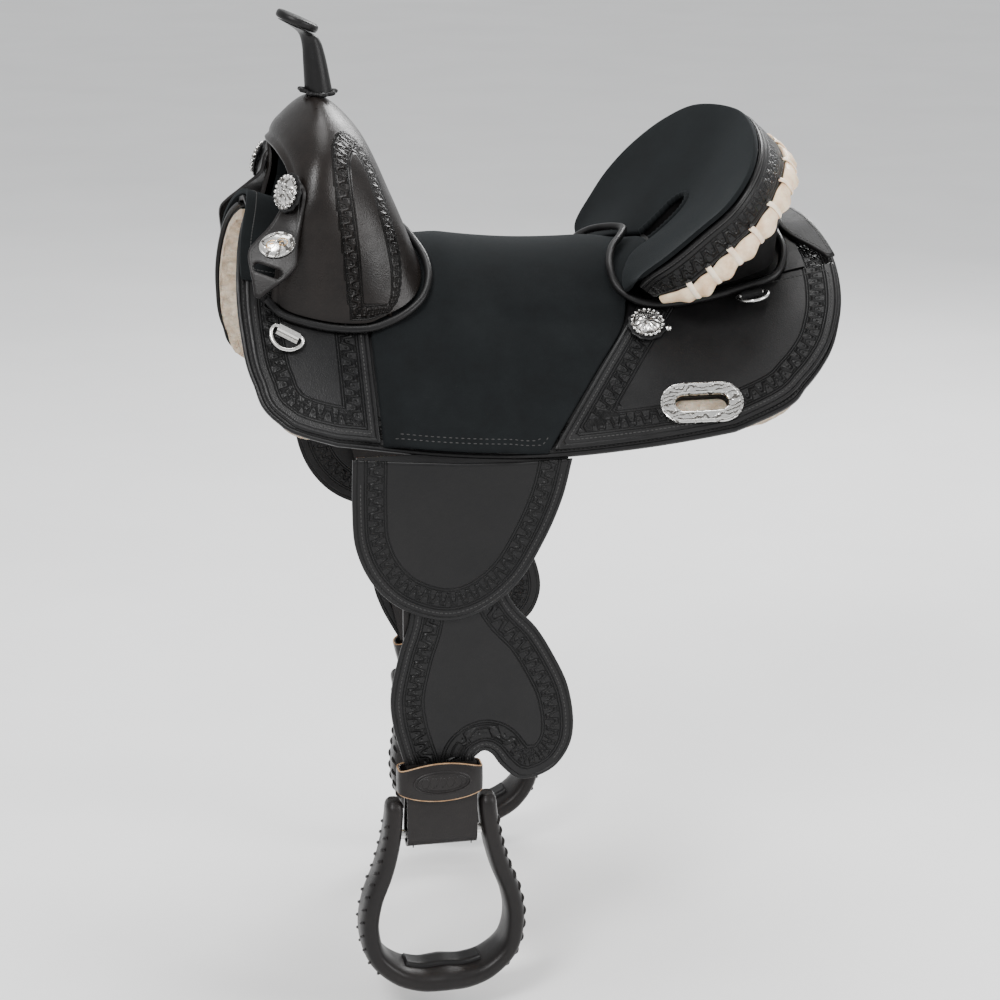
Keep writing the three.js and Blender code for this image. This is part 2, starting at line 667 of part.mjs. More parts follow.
// ---------- silver fittings and their leather ----------
/** A domed button on a thin scalloped rosette, its axis along +Z and its back at z = 0. */
function conchoBody() {
  const profile = [[0, 0], [ROSETTE_RADIUS, 0], [ROSETTE_RADIUS, 3], [CONCHO_RADIUS, 3.4], [CONCHO_RADIUS, 6],
    [CONCHO_RADIUS * 0.7, 8.5], [0, 10]].map(([r, z]) => new THREE.Vector2(r, z));
  return new THREE.LatheGeometry(profile, 16).rotateX(Math.PI / 2);
}

// The keeper's middle line from its top end to its tip, its half width along that length, and
// its across directions where it lies on the swell's corner and where it flares off the swell.
const KEEPER_LINE = [[-223, -98, 117], [-226, -101, 97], [-236, -111, 77], [-249, -124, 56], [-260, -133, 34],
  [-272, -138, 9]].map(point => vec(...point));
const KEEPER_LENGTH = 122;
const KEEPER_HALF_WIDTH = through([[0, 5], [4, 11], [9, 14], [15, 15], [35, 13.5], [59, 16.5], [75, 23], [81, 25],
  [90, 23], [99, 17.5], [111, 8.5], [119, 3]]);
const KEEPER_ACROSS = [vec(0.47, -0.88, 0), vec(0.885, -0.38, -0.267)];
const KEEPER_SCREW = 15;
const KEEPER_BADGE = 71;
const KEEPER_SLOT = 95;

/** The near keeper's middle, across, down and outward directions at a distance from its top end. */
function keeperFrame(distance) {
  const centre = d => spline(KEEPER_LINE, THREE.MathUtils.clamp(d / KEEPER_LENGTH, 0, 1) * (KEEPER_LINE.length - 1));
  const down = centre(distance + 2).sub(centre(distance - 2)).normalize();
  const across = KEEPER_ACROSS[0].clone().lerp(KEEPER_ACROSS[1], ramp(distance, 20, 60));
  across.addScaledVector(down, -across.dot(down)).normalize();
  return { centre: centre(distance), across, down, out: down.clone().cross(across) };
}

/** The frame of the screw concho at the keeper's top, square to the chord of the leather there. */
function keeperScrew() {
  const { centre, across } = keeperFrame(KEEPER_SCREW);
  const down = keeperFrame(2 * KEEPER_SCREW + 4).centre.sub(keeperFrame(0).centre).normalize();
  across.addScaledVector(down, -across.dot(down)).normalize();
  return { centre, across, down, out: down.clone().cross(across) };
}

function buildKeeper() {
  const rows = [0, 4, 9, 15, 27, 40, 52, 64, 75, 81, 90, 99, 111, 119].map(distance => ({
    width: KEEPER_HALF_WIDTH(distance), ...keeperFrame(distance) }));
  const surface = height => rows.map(({ centre, across, out, width }) => [-1, 0, 1].map(side => centre.clone()
    .addScaledVector(across, side * width).addScaledVector(out, height)));
  const slot = keeperFrame(KEEPER_SLOT);
  const slotTool = placed(plate(stadium(30, 8), 30, 4), slot.across, slot.down.clone().negate(), slot.out,
    slot.centre.clone().addScaledVector(slot.out, -15));
  addPair('latigo_keeper', cut(gridSolid(surface(KEEPER_THICKNESS), surface(0)), slotTool), 'leather');

  const oval = new THREE.LatheGeometry([[0, 0], [18, 0], [18, 1.6], [15, 3.4], [0, 4.6]]
    .map(([r, z]) => new THREE.Vector2(r, z)), 18).rotateX(Math.PI / 2).scale(1, 0.74, 1).rotateZ(0.6);
  const badge = keeperFrame(KEEPER_BADGE);
  addPair('keeper_concho', placed(oval, badge.across, badge.down.clone().negate(), badge.out,
    badge.centre.clone().addScaledVector(badge.out, KEEPER_THICKNESS + 1)), 'silver');
  const screw = keeperScrew();
  addPair('swell_concho', placed(conchoBody(), screw.across, screw.down.clone().negate(), screw.out,
    screw.centre.clone().addScaledVector(screw.out, KEEPER_THICKNESS + 5.6)), 'silver');
}

function buildSkirtFittings() {
  const { x, s } = SKIRT_CONCHO;
  const spot = surfaceFrame(x, -s);
  addPair('skirt_concho', placed(conchoBody(), spot.along, spot.out.clone().cross(spot.along), spot.out,
    drape(x, -s, LEATHER[1] + 0.8)), 'silver');
  const outline = stadium(SLOT_PLATE.length, SLOT_PLATE.width);
  outline.holes.push(stadium(SLOT_PLATE.slotLength, SLOT_PLATE.slotWidth, THREE.Path));
  addPair('slot_plate', onPlate(plate(outline, SLOT_PLATE.thickness, 6), LEATHER[1] + 0.8), 'silver');
}

/** The loop of a dee: a straight bar along X at the origin and a round bow towards -Y. */
function deeLoop(width, reach) {
  const half = width / 2;
  return [[-half, 0], [-half / 2, 0], [0, 0], [half / 2, 0], [half, 0], [half + 2, -reach * 0.35],
    [half * 0.75, -reach * 0.8], [0, -reach], [-half * 0.75, -reach * 0.8], [-half - 2, -reach * 0.35]]
    .map(([x, y]) => vec(x, y, 0));
}

/** A dee on its bar and the clip or chape that wraps the bar, with a tail lying on the leather
 *  (tail is its length down the side, negative for up). */
function addDee(name, holder, { bar, along, bow, down, width, reach, holderWidth, tail, material }) {
  const dee = ringTube(deeLoop(width, reach), WIRE_RADIUS, 22, 6);
  addPair(`${name}_dee`, placed(dee, along, bow.clone().negate(), bow.clone().cross(along), bar), 'silver');
  const hole = WIRE_RADIUS + 2 * MESH_GAP;
  const outer = hole + DEE_HOLDER_SKIN;
  const foot = Math.asin(1 - DEE_HOLDER_SKIN / outer);
  const outline = new THREE.Shape();
  outline.moveTo(0, -outer);
  outline.lineTo(tail, -outer);
  outline.lineTo(tail, -outer + DEE_HOLDER_SKIN);
  outline.absarc(0, 0, outer, tail > 0 ? -foot : Math.PI + foot, tail > 0 ? 1.5 * Math.PI : -Math.PI / 2, tail < 0);
  const eye = new THREE.Path();
  eye.absarc(0, 0, hole, 0, 2 * Math.PI);
  outline.holes.push(eye);
  const wrap = plate(outline, holderWidth, 5).translate(0, 0, -holderWidth / 2);
  const out = along.clone().cross(down).negate();
  addPair(`${name}_${holder}`, placed(wrap, down, out, down.clone().cross(out), bar), material);
}

const DEE_HOLDER_SKIN = 1.8;
const FRONT_DEE = { x: -238.4, s: 145.5, height: 27.8, turn: THREE.MathUtils.degToRad(17.6) };
const REAR_DEE = { x: 237, s: 110.5, height: 28, droop: THREE.MathUtils.degToRad(4) };

/** Where the dees' bars are, and which way their bows point at rest. */
function frontDeeFrame() {
  const { x, s, height, turn } = FRONT_DEE;
  const { along, down } = surfaceFrame(x, -s);
  const bow = down.clone().multiplyScalar(Math.cos(turn)).addScaledVector(along, -Math.sin(turn));
  return { bar: drape(x, -s, height), along: along.multiplyScalar(Math.cos(turn)).addScaledVector(down, Math.sin(turn)),
    bow, down: bow };
}

function rearDeeFrame() {
  const { x, s, height, droop } = REAR_DEE;
  const { along, down } = surfaceFrame(x, -s);
  const bow = vec(0, -Math.cos(droop), -Math.sin(droop));
  bow.addScaledVector(along, -bow.dot(along)).normalize();
  return { bar: drape(x, -s, height), along, bow, down };
}

function buildDees() {
  addDee('front', 'dee_clip', { ...frontDeeFrame(), width: 29, reach: 19, holderWidth: 23, tail: 7, material: 'silver' });
  addDee('rear', 'chape', { ...rearDeeFrame(), width: 28, reach: 22, holderWidth: 22, tail: -5.6, material: 'leather' });
}

// ---------- leg flap, fender and stirrup ----------
/** A plate standing in the XZ plane, between two distances from the middle of the saddle. */
function standing(shape, [inner, outer], curveSegments) {
  return plate(shape, outer - inner, curveSegments).rotateX(Math.PI / 2).translate(0, -inner, 0);
}

function outlineThrough(points, closing = []) {
  const shape = new THREE.Shape();
  shape.moveTo(...points[0]);
  shape.splineThru(points.slice(1).map(([x, z]) => new THREE.Vector2(x, z)));
  closing.forEach(point => shape.lineTo(...point));
  return shape;
}

function buildLegFlap() {
  const skirtEdge = [[30, -150], [-20, -151], [-80, -149], [-140, -144], [-190, -139]];
  const outline = outlineThrough([[-190, -139], [-191, -190], [-188, -230], [-172, -267], [-143, -295], [-100, -310],
    [-60, -302], [-24, -274], [2, -232], [20, -190], [30, -150]], skirtEdge.slice(1, -1));
  addPair('leg_flap', standing(outline, FLAP_PLANE, 2), 'leather');
}

function fenderOutline() {
  return outlineThrough([[-85, -166], [-118, -180], [-132, -215], [-133, -300], [-145, -345], [-154, -388],
    [-152, -420], [-144, -452], [-139, -470], [-139, -500]], [[-69, -500], [-68.5, -460]]);
}

/** The fender's outline: a strap above, swelling rearward to a rounded lobe beside the neck. */
function fenderShape() {
  const shape = fenderOutline();
  shape.splineThru([[-60, -454], [-51, -458], [-41, -472], [-24, -487], [-6, -487], [16, -476], [31, -453], [34, -425],
    [28, -390], [15, -360], [-4, -327], [-26, -302], [-36, -278], [-38, -215], [-52, -180], [-85, -166]]
    .map(([x, z]) => new THREE.Vector2(x, z)));
  return shape;
}

/** The stirrup leather: down inside the fender, round the bolt and up to the front again. */
function stirrupLeather() {
  const inner = BOLT.radius + 4.2;
  const outer = inner + STRAP_THICKNESS;
  const shape = new THREE.Shape();
  const backY = FENDER_PLANE[0] - 1.2;
  const frontY = FENDER_PLANE[1] + 3;
  shape.moveTo(backY - STRAP_THICKNESS, -200);
  shape.lineTo(backY - STRAP_THICKNESS, -490);
  shape.lineTo(BOLT.y - outer, BOLT.z + 14);
  shape.absarc(BOLT.y, BOLT.z, outer, Math.PI, 2 * Math.PI);
  shape.lineTo(BOLT.y + outer, BOLT.z + 22);
  shape.lineTo(frontY + STRAP_THICKNESS, -462);
  shape.lineTo(frontY, -462);
  shape.lineTo(BOLT.y + inner, BOLT.z + 22);
  shape.absarc(BOLT.y, BOLT.z, inner, 0, -Math.PI, true);
  shape.lineTo(BOLT.y - inner, BOLT.z + 14);
  shape.lineTo(backY, -490);
  shape.lineTo(backY, -200);
  const strap = plate(shape, 2 * NECK_HALF_WIDTH, 6);
  return placed(strap, vec(0, -1, 0), vec(0, 0, 1), vec(-1, 0, 0), vec(STIRRUP_X + NECK_HALF_WIDTH, 0, 0));
}

/** The hobble strap: a flat band round the neck of the fender and the leather. */
function hobbleStrap() {
  const band = (halfX, halfY, corner, Outline) => {
    const outline = new Outline();
    outline.absarc(halfX - corner, halfY - corner, corner, 0, Math.PI / 2);
    outline.absarc(corner - halfX, halfY - corner, corner, Math.PI / 2, Math.PI);
    outline.absarc(corner - halfX, corner - halfY, corner, Math.PI, 1.5 * Math.PI);
    outline.absarc(halfX - corner, corner - halfY, corner, 1.5 * Math.PI, 2 * Math.PI);
    return outline;
  };
  const shape = band(43.6, 15.4, 8, THREE.Shape);
  shape.holes.push(band(40.6, 12.4, 5, THREE.Path));
  return plate(shape, 32, 4).translate(STIRRUP_X - 1, -FENDER_PLANE[0] - 2.6, -495);
}

// The stirrup's middle line from the top of one arm to the middle of the tread.
const STIRRUP_ARM = [[-48, -500], [-49, -520], [-53, -548], [-61, -578], [-72, -608], [-76, -638], [-69, -668],
  [-48, -688], [-26, -696], [-13, -696], [0, -696]];
const STIRRUP_RADIAL = through([[0, 9], [3, 10], [6, 10], [7.5, 12], [9, 13], [10, 13]]);
const STIRRUP_DEPTH = through([[0, 13], [2, 19], [5, 22], [7, 28], [9, 33], [10, 33]]);

/** Stations round the stirrup: a centre, an outward normal and the half sizes of the section. */
function stirrupStations() {
  const points = [...STIRRUP_ARM, ...STIRRUP_ARM.slice(0, -1).reverse().map(([x, z]) => [-x, z])]
    .map(([x, z]) => vec(STIRRUP_X + x, -BOLT.y, z));
  const last = points.length - 1;
  return points.map((centre, i) => {
    const tangent = points[Math.min(i + 1, last)].clone().sub(points[Math.max(i - 1, 0)]).normalize();
    const along = Math.min(i, last - i);
    return { centre, inward: vec(-tangent.z, 0, tangent.x), radial: STIRRUP_RADIAL(along), depth: STIRRUP_DEPTH(along) };
  });
}

function stirrupFrame() {
  const sides = 8;
  const swell = 1 / Math.cos(Math.PI / sides);
  return loft(stirrupStations().map(({ centre, inward, radial, depth }) =>
    steps(0, 2 * Math.PI, sides).slice(0, sides).map(angle => centre.clone()
      .addScaledVector(inward, radial * swell * Math.cos(angle + Math.PI / sides))
      .addScaledVector(vec(0, 1, 0), depth * swell * Math.sin(angle + Math.PI / sides)))));
}

/** The tread pad, on the inner side of the stirrup's floor. */
function stirrupTread() {
  const floor = stirrupStations().slice(7, -7);
  const surface = height => floor.map(({ centre, inward, radial }) => [-12, 0, 12].map(y => centre.clone()
    .addScaledVector(inward, radial + height).add(vec(0, y, 0))));
  return gridSolid(surface(4), surface(0.6));
}

/** Turns the off side's fender assembly rearward about its pivot. */
function swungBack(geometry) {
  const { x, z } = FENDER_PIVOT;
  return geometry.translate(-x, 0, -z).rotateY(-OFF_FENDER_REST).translate(x, 0, z);
}

function addHangingPair(name, nearGeometry, material) {
  add(`near_${name}`, nearGeometry, material);
  add(`off_${name}`, swungBack(mirrored(nearGeometry)), material);
}

function buildStirrups() {
  buildLegFlap();
  addHangingPair('fender', standing(fenderShape(), FENDER_PLANE, 1), 'leather');
  addHangingPair('stirrup_leather', stirrupLeather(), 'leather');
  addHangingPair('hobble_strap', hobbleStrap(), 'edge');
  const boltEnd = 56;
  const bolt = rod(vec(STIRRUP_X - boltEnd, -BOLT.y, BOLT.z), vec(STIRRUP_X + boltEnd, -BOLT.y, BOLT.z), BOLT.radius);
  const hole = rod(vec(STIRRUP_X - 90, -BOLT.y, BOLT.z), vec(STIRRUP_X + 90, -BOLT.y, BOLT.z), BOLT.radius + MESH_GAP);
  addHangingPair('stirrup_bolt', bolt, 'steel');
  addHangingPair('stirrup', cut(stirrupFrame(), hole), 'leather');
  addHangingPair('stirrup_tread', stirrupTread(), 'leather');
}

buildLayers();
buildFork();
buildCantle();
buildKeeper();
buildSkirtFittings();
buildDees();
buildStirrups();

export default saddle;
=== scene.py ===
"""Western saddle: leather, suede, fleece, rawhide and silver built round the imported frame.

Lengths are in millimetres until a mesh is made. -X is the horn end and -Y the near side.
"""
import math
import bpy
import bmesh
import numpy as np
from mathutils import Matrix, Vector
from mathutils.geometry import delaunay_2d_cdt


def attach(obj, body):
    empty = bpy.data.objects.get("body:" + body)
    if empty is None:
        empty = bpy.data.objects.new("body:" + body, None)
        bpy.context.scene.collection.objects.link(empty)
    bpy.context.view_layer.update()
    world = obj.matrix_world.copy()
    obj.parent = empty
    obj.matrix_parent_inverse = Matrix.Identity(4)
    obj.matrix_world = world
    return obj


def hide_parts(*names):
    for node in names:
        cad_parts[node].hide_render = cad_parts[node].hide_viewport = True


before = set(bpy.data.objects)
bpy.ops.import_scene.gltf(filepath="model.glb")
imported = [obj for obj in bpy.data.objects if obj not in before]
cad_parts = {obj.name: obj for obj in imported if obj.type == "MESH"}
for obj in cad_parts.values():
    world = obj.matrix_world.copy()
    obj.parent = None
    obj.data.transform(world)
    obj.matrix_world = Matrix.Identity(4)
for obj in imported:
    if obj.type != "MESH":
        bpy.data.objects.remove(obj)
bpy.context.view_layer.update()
MM = 0.001
RNG = np.random.default_rng(7)


# ---------- curves ----------
def through(points):
    """A smooth function through (t, value) points, straight past both ends."""
    t, v = np.array(points, float).T
    gaps = np.diff(t)
    chord = np.diff(v) / gaps
    middle = (chord[:-1] * gaps[1:] + chord[1:] * gaps[:-1]) / (gaps[:-1] + gaps[1:])
    slope = np.concatenate([chord[:1], middle, chord[-1:]])

    def value(q):
        q = np.asarray(q, float)
        i = np.clip(np.searchsorted(t, q) - 1, 0, len(t) - 2)
        span = gaps[i]
        k = (q - t[i]) / span
        inside = (v[i] * (1 + 2 * k) * (1 - k) ** 2 + slope[i] * span * k * (1 - k) ** 2
                  + v[i + 1] * k * k * (3 - 2 * k) + slope[i + 1] * span * k * k * (k - 1))
        return np.where(k < 0, v[i] + slope[i] * (q - t[i]),
                        np.where(k > 1, v[i + 1] + slope[i + 1] * (q - t[i + 1]), inside))
    return value


def ramp(value, low, high):
    k = np.clip((np.asarray(value, float) - low) / (high - low), 0, 1)
    return k * k * (3 - 2 * k)


def catmull_rom(k):
    """The weights of four neighbouring points, k of the way from the second to the third."""
    return (-k / 2 + k ** 2 - k ** 3 / 2, 1 - 2.5 * k ** 2 + 1.5 * k ** 3,
            k / 2 + 2 * k ** 2 - 1.5 * k ** 3, (k ** 3 - k ** 2) / 2)


def spline(points, t):
    """Uniform Catmull-Rom through points, t from 0 to length - 1."""
    p = np.asarray(points, float)
    ext = np.concatenate([[2 * p[0] - p[1]], p, [2 * p[-1] - p[-2]]])
    t = np.asarray(t, float)
    i = np.clip(np.floor(t).astype(int), 0, len(p) - 2)
    return sum(weight * ext[i + j] for j, weight in enumerate(catmull_rom((t - i)[..., None])))


def even(points, step, closed=False):
    """Points at even spacing along a polyline."""
    p = np.asarray(points, float)
    if closed:
        p = np.vstack([p, p[:1]])
    length = np.concatenate([[0], np.cumsum(np.linalg.norm(np.diff(p, axis=0), axis=1))])
    count = max(int(round(length[-1] / step)), 2)
    at = np.linspace(0, length[-1], count + 1)
    if closed:
        at = at[:-1]
    return np.stack([np.interp(at, length, c) for c in p.T], -1)


def smooth_line(points, per=8):
    return spline(points, np.linspace(0, len(points) - 1, (len(points) - 1) * per + 1))


def unit(v):
    v = np.asarray(v, float)
    return v / np.maximum(np.linalg.norm(v, axis=-1, keepdims=True), 1e-12)


# ---------- the draped surface ----------
SPINE = through([[-300, 78], [-200, 44], [-100, 15], [0, 0], [100, -2], [200, 5], [300, 20]])
TILT = through([[-300, 1.02], [-150, 0.84], [0, 0.76], [300, 0.64]])
RIDGE = through([[-300, 42], [0, 68], [300, 74]])
BARREL = 0.0006
ARC_STEPS = 16


def side_angle(x, s):
    return TILT(x) * np.tanh(s / RIDGE(x)) + BARREL * s


def drape(x, s, h):
    """The point at x, signed distance s down from the spine, and height h."""
    x, s, h = np.broadcast_arrays(*(np.asarray(q, float) for q in (x, s, h)))
    reach, side = np.abs(s), np.sign(s)
    y = np.zeros_like(reach)
    z = np.zeros_like(reach)
    for i in range(ARC_STEPS + 1):
        weight = (1 if i in (0, ARC_STEPS) else 4 if i % 2 else 2) * reach / ARC_STEPS / 3
        angle = side_angle(x, reach * i / ARC_STEPS)
        y = y + weight * np.cos(angle)
        z = z - weight * np.sin(angle)
    angle = side_angle(x, reach)
    return np.stack([x, side * (y + h * np.sin(angle)), SPINE(x) + z + h * np.cos(angle)], -1)


def surface_frame(x, s):
    """Along, down the side and outward directions on the near side."""
    angle = float(side_angle(x, abs(s)))
    along = unit(drape(x + 1, s, 0) - drape(x - 1, s, 0))
    down = np.array([0, -math.cos(angle), -math.sin(angle)])
    out = np.array([0, -math.sin(angle), math.cos(angle)])
    return along, unit(down - down @ along * along), unit(out - out @ along * along)


# ---------- pieces ----------
SWING_BACK = math.radians(13)
PIVOT = np.array([-85, 0, -182])


def off_side(v, hangs=False):
    """The mirror image on the off side, swung rearward if it hangs from the fender's pivot."""
    v = np.asarray(v, float) * [1, -1, 1]
    if hangs:
        d = v - PIVOT
        c, s = math.cos(SWING_BACK), math.sin(SWING_BACK)
        v = PIVOT + np.stack([d[..., 0] * c - d[..., 2] * s, d[..., 1], d[..., 0] * s + d[..., 2] * c], -1)
    return v


def piece(name, verts, faces, material, body="saddle", slot=None, uv=None, replaces=(), sharp=40, pad=None):
    """Makes one closed mesh in the saddle's frame and rides it on its body."""
    mesh = bpy.data.meshes.new(name)
    mesh.from_pydata((np.asarray(verts, float) * MM).tolist(), [], [list(map(int, f)) for f in faces])
    if uv is not None:
        layer = mesh.uv_layers.new(name="edge")
        index = np.empty(len(mesh.loops), int)
        mesh.loops.foreach_get("vertex_index", index)
        layer.data.foreach_set("uv", np.asarray(uv, float)[index].ravel())
    mesh.validate()
    bm = bmesh.new()
    bm.from_mesh(mesh)
    bmesh.ops.recalc_face_normals(bm, faces=bm.faces)
    bm.to_mesh(mesh)
    bm.free()
    mesh.shade_smooth()
    mesh.set_sharp_from_angle(angle=math.radians(sharp))
    obj = bpy.data.objects.new(name, mesh)
    bpy.context.scene.collection.objects.link(obj)
    obj.data.materials.append(material)
    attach(obj, body)
    if replaces:
        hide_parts(*replaces)
    return obj


def pair(name, verts, faces, material, body=None, hangs=False, node=None, **rest):
    """A near piece and its off twin. body and node are named without their side."""
    for side in ("near", "off"):
        v = np.asarray(verts, float) if side == "near" else off_side(verts, hangs)
        piece(f"{side}_{name}", v, faces, material, f"{side}_{body}" if body else "saddle",
              replaces=(f"{side}_{node}",) if node else (), **rest)


def join(*parts):
    """One (verts, faces) from several."""
    verts, faces, base = [], [], 0
    for v, f in parts:
        verts.append(np.asarray(v, float))
        faces += [[i + base for i in face] for face in f]
        base += len(v)
    return np.vstack(verts), faces


def loft(rings, closed=False):
    """Quads through rings of points, with caps at both ends unless closed."""
    rings = np.asarray(rings, float)
    n, m = rings.shape[:2]
    faces = [[i * m + j, i * m + (j + 1) % m, (i + 1) % n * m + (j + 1) % m, (i + 1) % n * m + j]
             for i in range(n if closed else n - 1) for j in range(m)]
    if not closed:
        faces += [list(range(m))[::-1], [(n - 1) * m + j for j in range(m)]]
    return rings.reshape(-1, 3), faces


def slab(top, bottom):
    """A closed solid between two grids of points."""
    n, m = top.shape[:2]
    verts = np.vstack([top.reshape(-1, 3), bottom.reshape(-1, 3)])
    half = n * m
    faces = []
    for i in range(n - 1):
        for j in range(m - 1):
            a, b, c, d = i * m + j, i * m + j + 1, (i + 1) * m + j + 1, (i + 1) * m + j
            faces += [[a, b, c, d], [half + d, half + c, half + b, half + a]]
    rim = ([j for j in range(m)] + [i * m + m - 1 for i in range(1, n)]
           + [(n - 1) * m + j for j in range(m - 2, -1, -1)] + [i * m for i in range(n - 2, 0, -1)])
    faces += [[a, b, half + b, half + a] for a, b in zip(rim, rim[1:] + rim[:1])]
    return verts, faces


def tube(line, radius, sides=10, closed=False, flat=1.0, wide=None):
    """A round tube along a line of points, radius one number or one per point. A flat tube is wide
    in the direction wide."""
    p = np.asarray(line, float)
    n = len(p)
    tangent = unit(np.roll(p, -1, 0) - np.roll(p, 1, 0)) if closed else unit(np.gradient(p, axis=0))
    normal = np.cross(tangent[0], [0.13, 0.31, 0.94]) if wide is None else np.asarray(wide, float)
    radius = np.broadcast_to(radius, n)
    rings = []
    for i in range(n):
        normal = unit(normal - normal @ tangent[i] * tangent[i])
        other = np.cross(tangent[i], normal)
        a = np.linspace(0, 2 * math.pi, sides, endpoint=False)[:, None]
        rings.append(p[i] + radius[i] * (np.cos(a) * normal + flat * np.sin(a) * other))
    return loft(rings, closed)


def lathe(profile, segments=40, ripple=None):
    """A turned solid about +Z. ripple(angle, radius, z) changes z."""
    rings = []
    for r, z in profile:
        a = np.linspace(0, 2 * math.pi, segments, endpoint=False)
        zz = np.full(segments, float(z)) if ripple is None else z + ripple(a, r, z)
        rings.append(np.stack([max(r, 0.02) * np.cos(a), max(r, 0.02) * np.sin(a), zz], -1))
    return loft(rings)


def placed(part, x, y, z, origin):
    v, f = part
    return np.asarray(v) @ np.array([x, y, z]) + np.asarray(origin), f


def ball(centre, radius, rows=5, columns=8):
    rings = [[[math.sin(t) * math.cos(a), math.sin(t) * math.sin(a), math.cos(t)]
              for a in np.linspace(0, 2 * math.pi, columns, endpoint=False)]
             for t in np.linspace(0.25, math.pi - 0.25, rows)]
    v, f = loft(rings)
    return v * radius + centre, f


def stitches(points, normals, spacing=4.4, length=3.3, radius=0.5, lift=0.1):
    """A row of sewn stitches along a line on a surface."""
    both = even(np.hstack([points, np.asarray(normals) * 100]), spacing)
    p, n = both[:, :3], unit(both[:, 3:])
    turn = np.linspace(0, 2 * math.pi, 6, endpoint=False)
    parts = []
    for a, b, up in zip(p[:-1], p[1:], n):
        mid, d = (a + b) / 2, unit(b - a)
        side = unit(np.cross(up, d))
        rings = [[mid + d * length * k + up * (lift + radius * w * math.sin(q))
                  + side * radius * w * 1.3 * math.cos(q) for q in turn]
                 for k, w in ((-0.5, 0.35), (-0.25, 1), (0.25, 1), (0.5, 0.35))]
        parts.append(loft(rings))
    return join(*parts)


# ---------- flat patterns ----------
def to_edge(p, loop):
    """Distance to a closed outline, and how far along it the nearest point is."""
    seg = np.roll(loop, -1, 0) - loop
    size = np.hypot(*seg.T)
    start = np.concatenate([[0], np.cumsum(size)[:-1]])
    rel = p[:, None] - loop[None]
    k = np.clip((rel * seg).sum(-1) / np.maximum(size ** 2, 1e-9), 0, 1)
    d = np.linalg.norm(rel - k[..., None] * seg, axis=-1)
    j = d.argmin(1)
    r = np.arange(len(p))
    return d[r, j], start[j] + k[r, j] * size[j]


def inside(p, loop):
    a, b = loop, np.roll(loop, -1, 0)
    x, y = p[:, None, 0], p[:, None, 1]
    with np.errstate(divide="ignore", invalid="ignore"):
        cross = (a[:, 1] > y) != (b[:, 1] > y)
        at = (b[:, 0] - a[:, 0]) * (y - a[:, 1]) / (b[:, 1] - a[:, 1]) + a[:, 0]
    return ((cross & (x < at)).sum(1) % 2) == 1


def outline(runs, step=4.0):
    """One closed outline from smooth runs that share their end points."""
    return np.vstack([even(run, step)[:-1] for run in runs])


def between(a, b, step):
    """The closed outline between two lines that run the same way."""
    return outline([a, [a[-1], b[-1]], b[::-1], [b[0], a[0]]], step)


def inward(loop):
    """Unit normals that point into a closed outline."""
    t = unit(np.roll(loop, -1, 0) - np.roll(loop, 1, 0))
    area = (loop[:, 0] * np.roll(loop[:, 1], -1) - np.roll(loop[:, 0], -1) * loop[:, 1]).sum()
    return np.stack([-t[:, 1], t[:, 0]], -1) * np.sign(area)


INSETS = (0.45, 1.3, 3.2)


def pattern(loop, holes=(), grid=7.0):
    """Points and triangles filling an outline, with close rows along its edges."""
    rows = []
    for line, sign in [(loop, 1)] + [(h, -1) for h in holes]:
        normal = inward(line) * sign
        for inset in INSETS:
            q = line + normal * inset
            q = q[to_edge(q, line)[0] > inset * 0.96]
            rows.append(q[inside(q, loop)])
    low, high = loop.min(0), loop.max(0)
    gx, gy = np.meshgrid(np.arange(low[0], high[0], grid), np.arange(low[1], high[1], grid))
    g = np.stack([gx.ravel(), gy.ravel()], -1)
    g = g[inside(g, loop)]
    clear = to_edge(g, loop)[0] > INSETS[-1] + grid * 0.4
    for h in holes:
        clear &= (to_edge(g, h)[0] > INSETS[-1] + grid * 0.4) & ~inside(g, h)
    rows.append(g[clear])
    points = [*loop]
    edges = [(i, (i + 1) % len(loop)) for i in range(len(loop))]
    for h in holes:
        base = len(points)
        points += [*h]
        edges += [(base + i, base + (i + 1) % len(h)) for i in range(len(h))]
    points += [q for row in rows for q in row]
    verts, _, faces, *_ = delaunay_2d_cdt([Vector(q) for q in points], edges, [], 0, 1e-4)
    p, tri = np.array([tuple(v) for v in verts]), np.array(faces)
    middle = p[tri].mean(1)
    keep = inside(middle, loop)
    for h in holes:
        keep &= ~inside(middle, h)
    return p, tri[keep]


def panel(loop, place, layer, holes=(), grid=7.0, round_over=1.6, border=None, under=None):
    """A leather panel cut to an outline: place(p, height) puts its pattern in space.
    Returns verts, faces and edge coordinates (along and in from the edge, in decimetres); border is
    the outline that tooling follows, where that isn't the whole edge."""
    p, tri = pattern(loop, holes, grid)
    d, arc = to_edge(p, loop)
    near = d.copy()
    for h in holes:
        near = np.minimum(near, to_edge(p, h)[0])
    fall = round_over * (1 - np.sqrt(1 - np.clip(1 - near / round_over, 0, 1) ** 2))
    top = place(p, layer[1] - fall)
    bottom = place(p, layer[0] + (under(p, d) if under else 0))
    n = len(p)
    edges = np.vstack([tri[:, [0, 1]], tri[:, [1, 2]], tri[:, [2, 0]]])
    keys = np.sort(edges, 1)
    _, first, count = np.unique(keys, axis=0, return_index=True, return_counts=True)
    faces = tri.tolist() + (tri[:, ::-1] + n).tolist()
    faces += [[b, a, a + n, b + n] for a, b in edges[first[count == 1]]]
    if border is not None:
        d, arc = to_edge(p, border)
    uv = np.stack([arc, d], -1) / 100
    return np.vstack([top, bottom]), faces, np.vstack([uv, uv])


def on_horse(p, h):
    return drape(p[:, 0], p[:, 1], h)


def inner_line(loop, inset, place, height, gap=None):
    """A line in from an outline's edge, with its normals, for stitching."""
    q = loop + inward(loop) * inset
    q = q[to_edge(q, loop)[0] > inset * 0.93]
    if gap is not None:
        q = q[gap(q)]
    low, high = place(q, height), place(q, height + 1)
    return low, unit(high - low)


